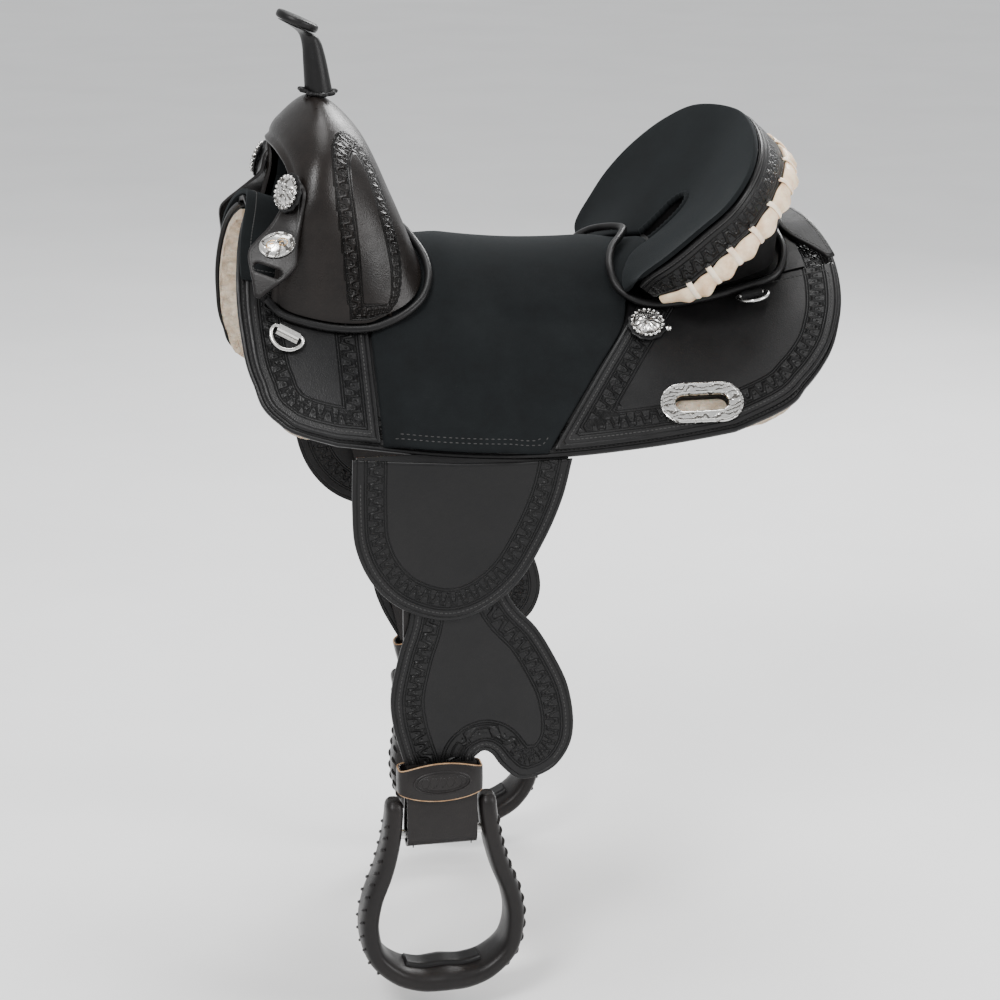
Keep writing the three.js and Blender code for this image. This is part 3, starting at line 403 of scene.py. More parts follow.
def sew(loop, inset, place, height, gap=None, spacing=4.4):
    """Stitches along a line in from an outline, broken where the line jumps."""
    p, n = inner_line(loop, inset, place, height, gap)
    jump = np.linalg.norm(np.diff(p, axis=0), axis=1) > 12
    parts = []
    for run in np.split(np.arange(len(p)), np.flatnonzero(jump) + 1):
        if len(run) > 3:
            parts.append(stitches(p[run], n[run], spacing))
    return join(*parts)


# ---------- materials ----------
class Nodes:
    """A short way to write a material's node tree."""

    def __init__(self, name, **settings):
        self.material = bpy.data.materials.new(name)
        self.material.use_nodes = True
        self.tree = self.material.node_tree
        self.shader = self.tree.nodes["Principled BSDF"]
        for key, value in settings.items():
            self.shader.inputs[key.replace("_", " ")].default_value = value

    def node(self, kind, inputs=None, **settings):
        node = self.tree.nodes.new("ShaderNode" + kind)
        for key, value in settings.items():
            setattr(node, key, value)
        for key, value in (inputs or {}).items():
            self.feed(node.inputs[key], value)
        return node

    def feed(self, socket, value):
        if isinstance(value, bpy.types.NodeSocket):
            self.tree.links.new(value, socket)
        else:
            socket.default_value = value

    def math(self, operation, a, b=0.0, c=None, clamp=False):
        node = self.node("Math", operation=operation, use_clamp=clamp)
        for socket, value in zip(node.inputs, (a, b) if c is None else (a, b, c)):
            self.feed(socket, value)
        return node.outputs[0]

    def add(self, a, b):
        return self.math("ADD", a, b)

    def minus(self, a, b, clamp=False):
        return self.math("SUBTRACT", a, b, clamp=clamp)

    def times(self, a, b, clamp=False):
        return self.math("MULTIPLY", a, b, clamp=clamp)

    def place(self):
        return self.node("TexCoord").outputs["Object"]

    def noise(self, scale, detail=4.0, rough=0.55):
        inputs = {"Vector": self.place(), "Scale": scale, "Detail": detail, "Roughness": rough}
        return self.node("TexNoise", inputs).outputs[0]

    def cells(self, scale, feature="F1"):
        inputs = {"Vector": self.place(), "Scale": scale}
        return self.node("TexVoronoi", inputs, feature=feature).outputs["Distance"]

    def colours(self, factor, stops):
        node = self.node("ValToRGB", {0: factor})
        ramp_ = node.color_ramp
        while len(ramp_.elements) < len(stops):
            ramp_.elements.new(0.5)
        for element, (position, colour) in zip(ramp_.elements, stops):
            element.position = position
            element.color = (*colour, 1)
        return node.outputs[0]

    def span(self, value, low, high, to_low=0.0, to_high=1.0):
        return self.node("MapRange", {0: value, 1: low, 2: high, 3: to_low, 4: to_high}).outputs[0]

    def bump(self, height, distance, strength=1.0, normal=None):
        inputs = {"Height": height, "Distance": distance, "Strength": strength}
        if normal is not None:
            inputs["Normal"] = normal
        return self.node("Bump", inputs).outputs[0]

    def finish(self, colour=None, roughness=None, normal=None):
        for key, value in (("Base Color", colour), ("Roughness", roughness), ("Normal", normal)):
            if value is not None:
                self.feed(self.shader.inputs[key], value)
        return self.material


SQUARENESS = 0.30
LINE_HALF = 0.9
RIBBON_HALF, RIBBON_SOFT, RIBBON_LIFT = 2.1, 0.35, 1.1
OUTLINE_AT, OUTLINE_HALF = 2.0, 0.7
SEED_SIDE, SEED_RADIUS, SEED_SPREAD, SEED_DEPTH = 1.6, 1.7, 6.5, 0.8
CREASE_AT, CREASE_HALF, CREASE_DEPTH = 4.2, 1.0, 0.6
GROUND_DEPTH, STIPPLE_SCALE, STIPPLE_HEIGHT = 0.3, 420.0, 0.16
TOOLING_DEPTH = 0.0017


def tooling(g, chain=22.5, lines=(11.5, 14.0, 31.0, 33.5), period=15.5, reach=4.3):
    """Stamped border relief from the edge coordinates, in millimetres from the edge: lines, and a
    waving ribbon with seeds in its bends between them. Returns the relief and its cuts."""
    uv = g.node("SeparateXYZ", {0: g.node("UVMap", uv_map="edge").outputs[0]})
    along = g.times(uv.outputs[0], 100.0)
    deep = g.times(uv.outputs[1], 100.0)

    def groove(distance, half):
        return g.minus(1.0, g.math("DIVIDE", distance, half), clamp=True)

    def groove_at(value, at, half):
        return groove(g.math("ABSOLUTE", g.minus(value, at)), half)

    cuts = groove_at(deep, lines[0], LINE_HALF)
    for line in lines[1:]:
        cuts = g.math("MAXIMUM", cuts, groove_at(deep, line, LINE_HALF))
    phase = g.times(along, 2 * math.pi / period)
    double = g.times(phase, 2.0)
    inner = g.add(phase, g.times(g.math("SINE", double), SQUARENESS))
    wave = g.math("SINE", inner)
    bend = g.add(1.0, g.times(g.math("COSINE", double), 2 * SQUARENESS))
    steep = g.times(g.times(g.math("COSINE", inner), bend), reach * 2 * math.pi / period)
    y = g.minus(deep, chain)
    off = g.math("ABSOLUTE", g.minus(y, g.times(wave, reach)))
    off = g.math("DIVIDE", off, g.math("SQRT", g.add(1.0, g.times(steep, steep))))
    near = g.math("SMOOTH_MIN", g.math("DIVIDE", off, RIBBON_HALF), 1.0, RIBBON_SOFT)
    ribbon = g.minus(1.0, near, clamp=True)
    seed_y = g.add(y, g.times(g.math("SIGN", wave), SEED_SIDE))
    seed_x = g.times(g.math("COSINE", phase), period / SEED_SPREAD)
    seed = groove(g.math("SQRT", g.add(g.times(seed_x, seed_x), g.times(seed_y, seed_y))), SEED_RADIUS)
    band = g.times(g.math("GREATER_THAN", deep, lines[1]), g.math("LESS_THAN", deep, lines[2]))
    ground = g.minus(band, ribbon, clamp=True)
    chain_cut = g.add(groove_at(off, OUTLINE_AT, OUTLINE_HALF), g.times(seed, SEED_DEPTH))
    crease = g.times(groove_at(deep, CREASE_AT, CREASE_HALF), CREASE_DEPTH)
    down = g.add(g.math("MAXIMUM", cuts, g.times(chain_cut, band)), crease)
    down = g.add(down, g.times(ground, GROUND_DEPTH))
    stipple = g.times(g.times(g.cells(STIPPLE_SCALE), ground), STIPPLE_HEIGHT)
    lift = g.times(g.times(ribbon, band), RIBBON_LIFT)
    return g.add(g.minus(lift, down), stipple), down


# The third colour is painted shade: tooled leather is darkened to it in its cuts, ground and crease.
DYE, RUBBED, CUT_SHADE = (0.0042, 0.0042, 0.0045), (0.0085, 0.0080, 0.0080), (0.0016, 0.0016, 0.0016, 1)
PEBBLE_DEPTH = 0.00016


def leather(name, tint=DYE, warm=RUBBED, rough=(0.30, 0.48), tooled=None):
    """Dyed, finished cowhide with pebble grain, faint creases, and rubbed high spots; tooled leather also
    gets painted shade, darkened in its cuts, ground and crease.
    """
    g = Nodes(name, Specular_IOR_Level=0.20, Coat_Weight=0.05, Coat_Roughness=0.30)
    mottled = g.add(g.times(g.noise(9.0, 5.0), 0.75), g.times(g.noise(160.0, 3.0), 0.25))
    colour = g.colours(mottled, [(0.30, tint), (0.72, warm)])
    roughness = g.span(g.noise(38.0, 6.0, 0.6), 0.3, 0.7, *rough)
    normal = g.bump(g.cells(900.0, "SMOOTH_F1"), PEBBLE_DEPTH)
    normal = g.bump(g.noise(55.0, 7.0, 0.7), 0.0006, 0.35, normal)
    if tooled is not None:
        relief, down = tooling(g, **tooled)
        normal = g.bump(relief, TOOLING_DEPTH, 1.0, normal)
        # Painted shade: the colour is darkened where the tooling is cut or pressed down, as if shade fell
        # there.
        cut_shade_mix = {0: g.times(down, 0.7, clamp=True), 6: colour, 7: CUT_SHADE}
        colour = g.node("Mix", cut_shade_mix, data_type="RGBA").outputs[2]
    return g.finish(colour, roughness, normal)


def suede(name):
    g = Nodes(name, Sheen_Weight=0.10, Sheen_Roughness=0.45, Specular_IOR_Level=0.10)
    g.shader.inputs["Sheen Tint"].default_value = (0.30, 0.34, 0.36, 1)
    nap = g.noise(26.0, 7.0, 0.7)
    colour = g.colours(nap, [(0.30, (0.0040, 0.0046, 0.0050)), (0.70, (0.0078, 0.0090, 0.0096))])
    normal = g.bump(g.noise(1400.0, 2.0), 0.0004, 0.6)
    normal = g.bump(g.noise(70.0, 5.0), 0.0007, 0.25, normal)
    return g.finish(colour, g.span(nap, 0.3, 0.7, 0.86, 1.0), normal)


def fleece_material():
    g = Nodes("fleece", Sheen_Weight=0.4, Sheen_Roughness=0.6, Specular_IOR_Level=0.1,
              Subsurface_Weight=0.12, Subsurface_Scale=0.006)
    tufts = g.cells(150.0, "SMOOTH_F1")
    # Partly random tone and partly painted shade: the colour turns from cream to brown across each tuft cell,
    # darkest between the tufts.
    tuft_shade_and_tone = g.add(g.times(tufts, 0.5), g.times(g.noise(14.0, 5.0), 0.6))
    colour = g.colours(tuft_shade_and_tone, [(0.30, (0.84, 0.71, 0.54)), (0.62, (0.50, 0.36, 0.23))])
    normal = g.bump(g.noise(520.0, 6.0, 0.75), 0.003, 1.0, g.bump(tufts, 0.007, 1.0))
    return g.finish(colour, 0.95, normal)


def rawhide_material(name, light, dark):
    g = Nodes(name, Specular_IOR_Level=0.45, Coat_Weight=0.15, Coat_Roughness=0.3,
              Subsurface_Weight=0.15, Subsurface_Scale=0.004)
    stain = g.noise(60.0, 6.0, 0.65)
    colour = g.colours(stain, [(0.32, dark), (0.58, light)])
    normal = g.bump(g.noise(300.0, 5.0), 0.0005, 0.5)
    return g.finish(colour, g.span(stain, 0.3, 0.7, 0.38, 0.6), normal)


def metal(name, low, high, relief=0.0):
    """Polished metal, low in its engraved cuts and high on its face."""
    g = Nodes(name, Metallic=1.0)
    waves = {"Vector": g.place(), "Scale": 60.0, "Distortion": 11.0, "Detail": 2.0, "Detail Scale": 1.2}
    cut = g.span(g.node("TexWave", waves, wave_type="RINGS").outputs["Fac"], 0.10, 0.34)
    colour = g.colours(cut, [(0.0, low), (0.55, high)])
    roughness = g.span(g.noise(500.0, 3.0), 0.3, 0.7, 0.14, 0.30)
    return g.finish(colour, roughness, g.bump(cut, 0.0008, relief))


def speckled(name, specular, colour_noise, dark, light, roughness, bump_noise, depth, strength):
    """A dull fibrous surface with colour and height from two noises, each (scale, detail)."""
    g = Nodes(name, Specular_IOR_Level=specular)
    colour = g.colours(g.noise(*colour_noise), [(0.3, dark), (0.7, light)])
    return g.finish(colour, roughness, g.bump(g.noise(*bump_noise), depth, strength))


SILVER_FACE, SILVER_AGED = (0.66, 0.65, 0.63), (0.16, 0.15, 0.14)
PLAIN = leather("leather_plain")
TOOLED = leather("leather_tooled", tooled={})
BAND = leather("leather_band", tooled={"chain": 24.0, "lines": (9.5, 14.5, 33.5, 38.0), "period": 14.5})
SWELL = leather("leather_swell", (0.0050, 0.0044, 0.0042), (0.0140, 0.0105, 0.0090), (0.24, 0.40),
                {"chain": 8.5, "lines": (0.8, 2.6, 14.5, 16.5), "period": 12.0, "reach": 3.0})
STRAP = leather("leather_strap", (0.0060, 0.0052, 0.0052), (0.0125, 0.0105, 0.0100), (0.32, 0.48))
SUEDE = suede("suede")
FLEECE = fleece_material()
RAWHIDE = rawhide_material("rawhide", (0.84, 0.66, 0.46), (0.60, 0.39, 0.22))
LACE = rawhide_material("lace", (0.88, 0.74, 0.58), (0.70, 0.52, 0.36))
SILVER = metal("silver", SILVER_AGED, SILVER_FACE, 0.9)
BRIGHT = metal("bright_silver", SILVER_FACE, SILVER_FACE)
GOLD = metal("gilt_scroll", (0.55, 0.34, 0.15), (0.72, 0.48, 0.24))
THREAD = speckled("thread", 0.35, (900.0, 2.0), (0.012, 0.012, 0.012), (0.035, 0.034, 0.033), 0.62,
                  (2200.0, 2.0), 0.0003, 0.8)
TAN = speckled("cut_edge", 0.3, (120.0, 6.0), (0.20, 0.11, 0.055), (0.42, 0.27, 0.15), 0.75,
               (700.0, 4.0), 0.0005, 0.6)


# ---------- fleece, skirts, jockeys and seat ----------
SKIRT_FRONT = through([[21, -268], [47, -277], [88, -284], [150, -285], [199, -277], [236, -256], [246, -238],
                       [253, -200]])
SKIRT_REAR = through([[21, 328], [88, 335], [160, 321], [199, 300], [224, 274], [243, 244], [253, 195]])
JOCKEY_FRONT = through([[90, -276], [127, -278], [151, -277], [197, -270], [232, -250], [242, -230],
                        [247, -200]])
JOCKEY_REAR = through([[90, 331], [112, 329], [160, 317], [195, 297], [218, 272], [236, 242], [247, 195]])
REAR_JOCKEY_FRONT = through([[90, 127], [112, 110], [164, 71], [226, 26], [247, 11]])
FRONT_JOCKEY_REAR = -159
SUEDE_REAR = through([[0, 156], [60, 134], [86, 112], [112, 105], [164, 68], [226, 23], [250, 6]])
SUEDE_FRONT = -156
SKIRT_TOP, SKIRT_HEM = 21, 253
JOCKEY_TOP, JOCKEY_HEM = 90, 247
FLEECE_TOP, FLEECE_HEM = 22, 246
BORDER_TOP = 30
SEAT_HEM = 250
LEATHER_TOP = 22.4
SKIRT = (13.2, 17.2)
LEATHER = (18.4, LEATHER_TOP)
OVER_LEATHER = 23.6


def draped_loop(s0, s1, front, rear, step=4.0):
    """The outline of a draped piece on the near side, in (x, s)."""
    s = np.linspace(s0, s1, 60)
    a = np.stack([front(s) + 0 * s, -s], -1)
    b = np.stack([rear(s) + 0 * s, -s], -1)
    return between(a, b, step)


def stadium(length, width, count=14):
    half = (length - width) / 2
    a = np.linspace(-math.pi / 2, math.pi / 2, count)
    right = np.stack([half + width / 2 * np.cos(a), width / 2 * np.sin(a)], -1)
    return even(np.vstack([right, -right]), 2.5, closed=True)


PLATE_X, PLATE_S, PLATE_TILT = 165, 219, math.radians(8)
PLATE_SIZE, SLOT_SIZE = (84, 45), (54, 18)
p_along, _, p_out = surface_frame(PLATE_X, -PLATE_S)
plate_along = p_along * math.cos(PLATE_TILT) - np.cross(p_out, p_along) * math.sin(PLATE_TILT)
plate_up = np.cross(p_out, plate_along)
slot = stadium(*SLOT_SIZE)
slot_2d = np.stack([PLATE_X + slot[:, 0] * math.cos(PLATE_TILT) + slot[:, 1] * math.sin(PLATE_TILT),
                    -PLATE_S - slot[:, 0] * math.sin(PLATE_TILT) + slot[:, 1] * math.cos(PLATE_TILT)], -1)

skirt_loop = draped_loop(SKIRT_TOP, SKIRT_HEM, SKIRT_FRONT, SKIRT_REAR)
skirt_border = draped_loop(-60, SKIRT_HEM, SKIRT_FRONT, SKIRT_REAR)
v, f, uv = panel(skirt_loop, on_horse, SKIRT, holes=(slot_2d,), border=skirt_border)
pair("skirt", v, f, TOOLED, node="skirt", uv=uv, slot="black_leather")
v, f = sew(skirt_loop, 6.5, on_horse, SKIRT[1], lambda q: q[:, 1] < -60)
pair("skirt_stitches", v, f, THREAD, slot="black_leather")


def tufted(p, d):
    """Curled wool: the underside of the fleece is uneven."""
    x, s = p.T
    wave = np.sin(x * 0.61 + 1.7 * np.sin(s * 0.23)) * np.sin(s * 0.53 + 1.3 * np.sin(x * 0.31))
    curl = np.sin(x * 0.19 + 2.0 * np.sin(s * 0.11)) * np.sin(s * 0.17 + 1.6 * np.sin(x * 0.13))
    return 2.4 + 1.2 * wave + 1.0 * curl + RNG.uniform(-0.7, 0.7, len(p))


fleece_loop = draped_loop(FLEECE_TOP, FLEECE_HEM, lambda s: SKIRT_FRONT(s) + 4, lambda s: SKIRT_REAR(s) - 5,
                          5.0)
v, f, uv = panel(fleece_loop, on_horse, (0, 12.6), grid=5.5, round_over=3.0, under=tufted)
pair("fleece", v, f, FLEECE, node="fleece_lining", uv=uv, slot="fleece", sharp=80)


def front_jockey_rear(s):
    return FRONT_JOCKEY_REAR


front_loop = draped_loop(JOCKEY_TOP, JOCKEY_HEM, JOCKEY_FRONT, front_jockey_rear)
front_border = draped_loop(BORDER_TOP, JOCKEY_HEM, JOCKEY_FRONT, front_jockey_rear)
v, f, uv = panel(front_loop, on_horse, LEATHER, border=front_border)
pair("front_jockey_leather", v, f, TOOLED, node="front_jockey", uv=uv, slot="black_leather")
v, f = sew(front_loop, 8.0, on_horse, LEATHER_TOP, lambda q: q[:, 1] < -120)
pair("front_jockey_stitches", v, f, THREAD, slot="black_leather")

rear_loop = draped_loop(JOCKEY_TOP, JOCKEY_HEM, REAR_JOCKEY_FRONT, JOCKEY_REAR)
rear_border = draped_loop(BORDER_TOP, JOCKEY_HEM, REAR_JOCKEY_FRONT, JOCKEY_REAR)
v, f, uv = panel(rear_loop, on_horse, LEATHER, holes=(slot_2d,), border=rear_border)
pair("rear_jockey_leather", v, f, TOOLED, node="rear_jockey", uv=uv, slot="black_leather")
v, f = sew(rear_loop, 8.0, on_horse, LEATHER_TOP, lambda q: q[:, 1] < -96)
pair("rear_jockey_stitches", v, f, THREAD, slot="black_leather")


def suede_height(x, s):
    """The underside of the suede seat, stepped over the plate and hangers and crowned over its foam."""
    s = np.abs(s)
    over_plate = 1 - ramp(s, 93, 112)
    over_hanger = ramp(x, -157, -135) * (1 - ramp(x, -34, -12)) * ramp(s, 92, 110)
    step = 1 - (1 - over_plate) * (1 - over_hanger)
    crown = ramp(x, -105, -60) * ramp(SUEDE_REAR(s) - x, 12, 62) * (1 - ramp(s, 130, 215))
    return 18.4 + 5.2 * step + 7 * crown


def on_seat(p, h):
    return drape(p[:, 0], p[:, 1], h + suede_height(p[:, 0], p[:, 1]))


hem_s = np.linspace(-SEAT_HEM, SEAT_HEM, 90)
seat_rear = np.stack([SUEDE_REAR(np.abs(hem_s)), hem_s], -1)
seat_front = np.stack([np.full(90, float(SUEDE_FRONT)), hem_s], -1)
seat_loop = between(seat_front, seat_rear, 5.0)
v, f, uv = panel(seat_loop, on_seat, (0.1, 3.2), grid=7.5, round_over=2.0)
piece("suede_seat_cover", v, f, SUEDE, uv=uv, slot="suede", replaces=("suede_seat",), pad=0.8)
for inset in (8.0, 13.0):
    v, f = sew(seat_loop, inset, on_seat, 3.0, lambda q: np.abs(q[:, 1]) > SEAT_HEM - 18, spacing=6.0)
    piece(f"seat_hem_stitches_{int(inset)}", v, f, THREAD, slot="black_leather")

pad_s = np.linspace(-98, 98, 60)
pad_front_x = through([[0, -262], [20, -267], [60, -278], [87, -281], [98, -281]])
pad_a = np.stack([pad_front_x(np.abs(pad_s)), pad_s], -1)
pad_b = np.stack([np.full(60, -214.0), pad_s], -1)
pad_loop = between(pad_a, pad_b, 4.0)
v, f, uv = panel(pad_loop, on_horse, (OVER_LEATHER, 29.4), grid=6.0, round_over=2.8)
piece("wither_pad_suede", v, f, SUEDE, uv=uv, slot="suede", replaces=("wither_pad",), pad=0.5)
v, f = sew(pad_loop, 10.0, on_horse, 29.2, lambda q: q[:, 0] < -240)
piece("wither_pad_stitches", v, f, THREAD, slot="black_leather")

patch_s = np.linspace(-85, 85, 50)
patch_a = np.stack([through([[0, 292], [46, 296], [69, 313], [85, 325]])(np.abs(patch_s)), patch_s], -1)
patch_b = np.stack([through([[0, 321], [43, 327], [85, 333]])(np.abs(patch_s)), patch_s], -1)
patch_loop = between(patch_a, patch_b, 3.0)
v, f, uv = panel(patch_loop, on_horse, (OVER_LEATHER, 27.4), grid=4.0)
piece("rear_patch_leather", v, f, PLAIN, uv=uv, slot="black_leather", replaces=("rear_bridge_patch",))
v, f = sew(patch_loop, 4.0, on_horse, 27.2)
piece("rear_patch_stitches", v, f, THREAD, slot="black_leather")


# ---------- swell and horn ----------
def mirrored_half(half):
    half = np.asarray(half, float)
    return np.vstack([half * [1, -1, 1], half[-2::-1]])


def base(x, s, h=27.5):
    return drape(x, s, h)


REAR_LIP = 31.5
FORK_HALVES = [
    [base(-254, 114), (-246, 98, 40), (-235, 94, 76), (-229, 87, 104), (-231, 71, 125), (-237, 42, 138),
     (-241, 0, 142)],
    [base(-234, 125), (-233, 112, 30), (-225, 113, 70), (-217, 109, 104), (-217, 91, 135), (-223, 53, 157),
     (-228, 0, 166)],
    [base(-196, 129), (-196, 118, 20), (-194, 116, 66), (-192, 111, 104), (-190, 92, 144), (-190, 54, 174),
     (-191, 0, 189)],
    [base(-162, 125), (-160, 116, 14), (-156, 108, 52), (-152, 95, 88), (-149, 74, 120), (-149, 42, 145),
     (-150, 0, 155)],
    [base(-146, 118, 30), (-135, 109, 6), (-125, 99, 32), (-120, 83, 58), (-120, 60, 80), (-122, 32, 94),
     (-124, 0, 99)],
    [base(x, s, REAR_LIP) for x, s in ((-136, 112), (-120, 101), (-106, 86), (-98, 66), (-98, 44), (-104, 22),
                                       (-108, 0))]]
FORK = np.array([mirrored_half(half) for half in FORK_HALVES])
U_END, W_END = 5, 12


def fork_point(u, w):
    """Points of the swell's surface on grids of u (front to rear) and w (near to off)."""
    rows = np.stack([spline(section, w) for section in FORK])
    ext = np.concatenate([[2 * rows[0] - rows[1]], rows, [2 * rows[-1] - rows[-2]]])
    i = np.clip(np.floor(u).astype(int), 0, len(FORK) - 2)
    cell = np.indices(u.shape)
    weights = catmull_rom((u - i)[..., None])
    return sum(weight * ext[(i + j, *cell)] for j, weight in enumerate(weights))


def fork_surface(u, w, depth):
    du = fork_point(np.minimum(u + 0.05, U_END), w) - fork_point(np.maximum(u - 0.05, 0), w)
    dw = fork_point(u, np.minimum(w + 0.05, W_END)) - fork_point(u, np.maximum(w - 0.05, 0))
    return fork_point(u, w) + unit(np.cross(dw, du)) * depth[..., None]


u_list = np.concatenate([[0, 0.03, 0.07, 0.12, 0.18, 0.25, 0.34], np.linspace(0.45, U_END, 58)])
uu, ww = np.meshgrid(u_list, np.linspace(0, W_END, 145), indexing="ij")
lip = -1.6 * np.exp(-((uu - 0.12) / 0.10) ** 2) + 0.8 * np.exp(-((uu - 0.36) / 0.07) ** 2)
lip += 2.4 * np.clip(1 - uu / 0.05, 0, 1) ** 2
top = fork_surface(uu, ww, lip)
bottom = fork_surface(uu, ww, np.full(uu.shape, 4.0))
U_MM, W_MM = 33.0, 36.0
tomb = smooth_line([(2.5, 0.05), (2.3, 1.5), (2.05, 3.2), (2.02, 4.05), (2.25, 4.62), (2.62, 4.8),
                    (3.0, 4.65), (3.35, 4.2), (3.75, 3.2), (4.2, 2.0), (4.62, 0.9), (4.7, 0.05)])
tomb = even(tomb * [U_MM, W_MM], 3.0, closed=True)
side_w = np.where(ww > W_END / 2, W_END - ww, ww)
flat = np.stack([(uu * U_MM).ravel(), (side_w * W_MM).ravel()], -1)
d, arc = to_edge(flat, tomb)
d = np.where(inside(flat, tomb), d, -5.0)
uv = np.stack([arc, d], -1) / 100
v, f = slab(top, bottom)
piece("swell_leather", v, f, SWELL, uv=np.vstack([uv, uv]), slot="black_leather", replaces=("swell_cover",),
      sharp=55)

WELT_RADIUS = 4.0
swell_welt = mirrored_half([drape(x, s, h) for x, s, h in (
    (-258, 116, 27), (-240, 130, 27), (-198, 135, 27), (-162, 131, 27), (-137, 121, 30), (-116, 107, 32),
    (-100, 90, 33), (-91, 68, 33.5), (-91, 45, 33.5), (-98, 22, 33), (-102, 0, 33))])
v, f = tube(smooth_line(swell_welt), WELT_RADIUS, 14)
piece("swell_welt_leather", v, f, PLAIN, slot="black_leather", replaces=("swell_welt",))

HORN_TILT = math.radians(24.8)
horn = spline([[-187, 191.5, 14, 0], [-190, 219, 12, 0], [-192.5, 237, 10.5, 0.1], [-196, 247, 11, 0.3],
               [-202.5, 252.8, 15, 0.4], [-209.4, 257, 19, HORN_TILT]], np.linspace(0, 5, 50))
ring_a = np.linspace(0, 2 * math.pi, 40, endpoint=False)
rings = [np.stack([x + r * np.cos(ring_a) * math.cos(lean), r * np.sin(ring_a),
                   z - r * np.cos(ring_a) * math.sin(lean)], -1) for x, z, r, lean in horn]
v, f = loft(rings)
piece("horn_neck_leather", v, f, PLAIN, slot="black_leather", replaces=("horn_neck_wrap",), sharp=60)
HORN_CAP = (-207.3, 0, 262.2)
horn_up = np.array([math.sin(HORN_TILT), 0, math.cos(HORN_TILT)])
cap_profile = [(0, -4.5), (14, -4.5), (19.5, -4.3), (21.6, -3.4), (22.5, -1.2), (22.5, 1.2), (21.9, 2.9),
               (20.8, 3.9), (19.4, 4.3), (18.7, 3.9), (18.0, 4.4), (9, 4.5), (0, 4.5)]
v, f = placed(lathe(cap_profile, 56), np.cross([0, 1, 0], horn_up), [0, 1, 0], horn_up, HORN_CAP)
piece("horn_cap_leather", v, f, PLAIN, slot="black_leather", replaces=("horn_cap",), sharp=60)
collar_a = np.linspace(0, 2 * math.pi, 72, endpoint=False)
collar_r = 16.3 + 1.5 * np.cos(collar_a * 9)
collar = np.stack([-188 + collar_r * np.cos(collar_a) * 1.05, collar_r * np.sin(collar_a),
                   192.6 - 3.2 * np.abs(np.sin(collar_a)) ** 2 - 1.6 * np.cos(collar_a)], -1)
v, f = tube(collar, 2.2, 8, closed=True)
piece("horn_collar", v, f, PLAIN, slot="black_leather")

# ---------- cantle ----------
CANTLE_HALVES = {
    "seam": [[104, 118, -6], [105, 100, 2], [109, 84, 9], [116, 68, 15], [125, 52, 21], [138, 36, 26],
             [154, 19, 30], [160, 0, 31]],
    "rim": [[112, 123, 2], [114, 143, 19], [136, 166, 44], [160, 182, 70], [190, 188, 98], [219, 162, 128],
            [239, 103, 151], [252, 0, 160]],
    "band": [[128, 126, -10], [141, 146, -2], [162, 165, 10], [188, 178, 37], [220, 178, 66],
             [251, 152, 97], [276, 98, 118], [289, 0, 126]],
    "rawhide": [[133, 124, -13], [147, 143, -9], [169, 161, -1], [196, 174, 25], [228, 173, 55],
                [260, 147, 86], [285, 95, 107], [298, 0, 115]],
    "base": [drape(x, s, 32) for x, s in ((130, 96), (143, 97), (168, 98), (198, 99), (232, 95), (262, 88),
                                          (275, 60), (280, 0))],
}
CANTLE = {key: mirrored_half(half) for key, half in CANTLE_HALVES.items()}
CANTLE_END = 14


def cantle_point(first, second, t, w, depth, sag):
    """Points on the sheet stretched between two cantle lines, depth inward."""
    def at(tt, q):
        a, b = spline(CANTLE[first], q), spline(CANTLE[second], q)
        return a + (b - a) * tt[..., None]
    dt = at(t + 0.02, w) - at(t - 0.02, w)
    dw = at(t, np.minimum(w + 0.05, CANTLE_END)) - at(t, np.maximum(w - 0.05, 0))
    dish = sag * np.sin(math.pi * np.clip(t, 0, 1)) * np.sin(math.pi * w / CANTLE_END)
    return at(t, w) - unit(np.cross(dt, dw)) * (depth + dish)[..., None]


def cantle_sheet(first, second, t_list, w_list, depth, sag):
    """A grid of points on the sheet between two cantle lines."""
    tt, qq = np.meshgrid(t_list, w_list, indexing="ij")
    return cantle_point(first, second, tt, qq, np.broadcast_to(depth, tt.shape), sag)


FACE_W, FACE_T = 42.0, 150.0
NOTCH_HALF, NOTCH_STRAIGHT, NOTCH_ARCH = 20.0, 34, 36
FACE_HEIGHT, FACE_NARROW, FACE_WIDENING = 158.0, 20, 84
FACE_THICKNESS, FACE_DISH, FACE_TIP = 4.5, 9, 0.35


def face_place(p, h):
    w = p[:, 0] / FACE_W + CANTLE_END / 2
    return cantle_point("seam", "rim", p[:, 1] / FACE_T, w, FACE_THICKNESS - h, FACE_DISH)


def face_pattern(y, z):
    """The pattern's point y across and z up the face, in millimetres."""
    t = np.asarray(z) / FACE_HEIGHT
    return np.stack([y / (FACE_NARROW + FACE_WIDENING * t) * FACE_W, t * FACE_T], -1)


def face_at(points, height):
    return face_place(np.asarray(points, float), np.full(len(points), float(height)))


arch = np.linspace(0, math.pi, 24)
notch_y = np.concatenate([[-NOTCH_HALF] * 6, -NOTCH_HALF * np.cos(arch), [NOTCH_HALF] * 6])
notch_z = np.concatenate([np.linspace(0, NOTCH_STRAIGHT, 6), NOTCH_ARCH + NOTCH_HALF * np.sin(arch),
                          np.linspace(NOTCH_STRAIGHT, 0, 6)])
notch_2d = face_pattern(notch_y, notch_z)
right = (CANTLE_END / 2 - FACE_TIP) * FACE_W
left = -right
face_loop = outline([[(left, 0), notch_2d[0]], notch_2d, [notch_2d[-1], (right, 0)],
                     [(right, 0), (right, FACE_T)], [(right, FACE_T), (left, FACE_T)],
                     [(left, FACE_T), (left, 0)]], 5.0)
v, f, uv = panel(face_loop, face_place, (0, FACE_THICKNESS), grid=8.0, round_over=2.4)
piece("cantle_suede", v, f, SUEDE, uv=uv, slot="suede", replaces=("cantle_face",), pad=0.6)


def drawn_in(line, k):
    """A line pulled k of the way to its middle."""
    return line + (line.mean(0) - line) * k


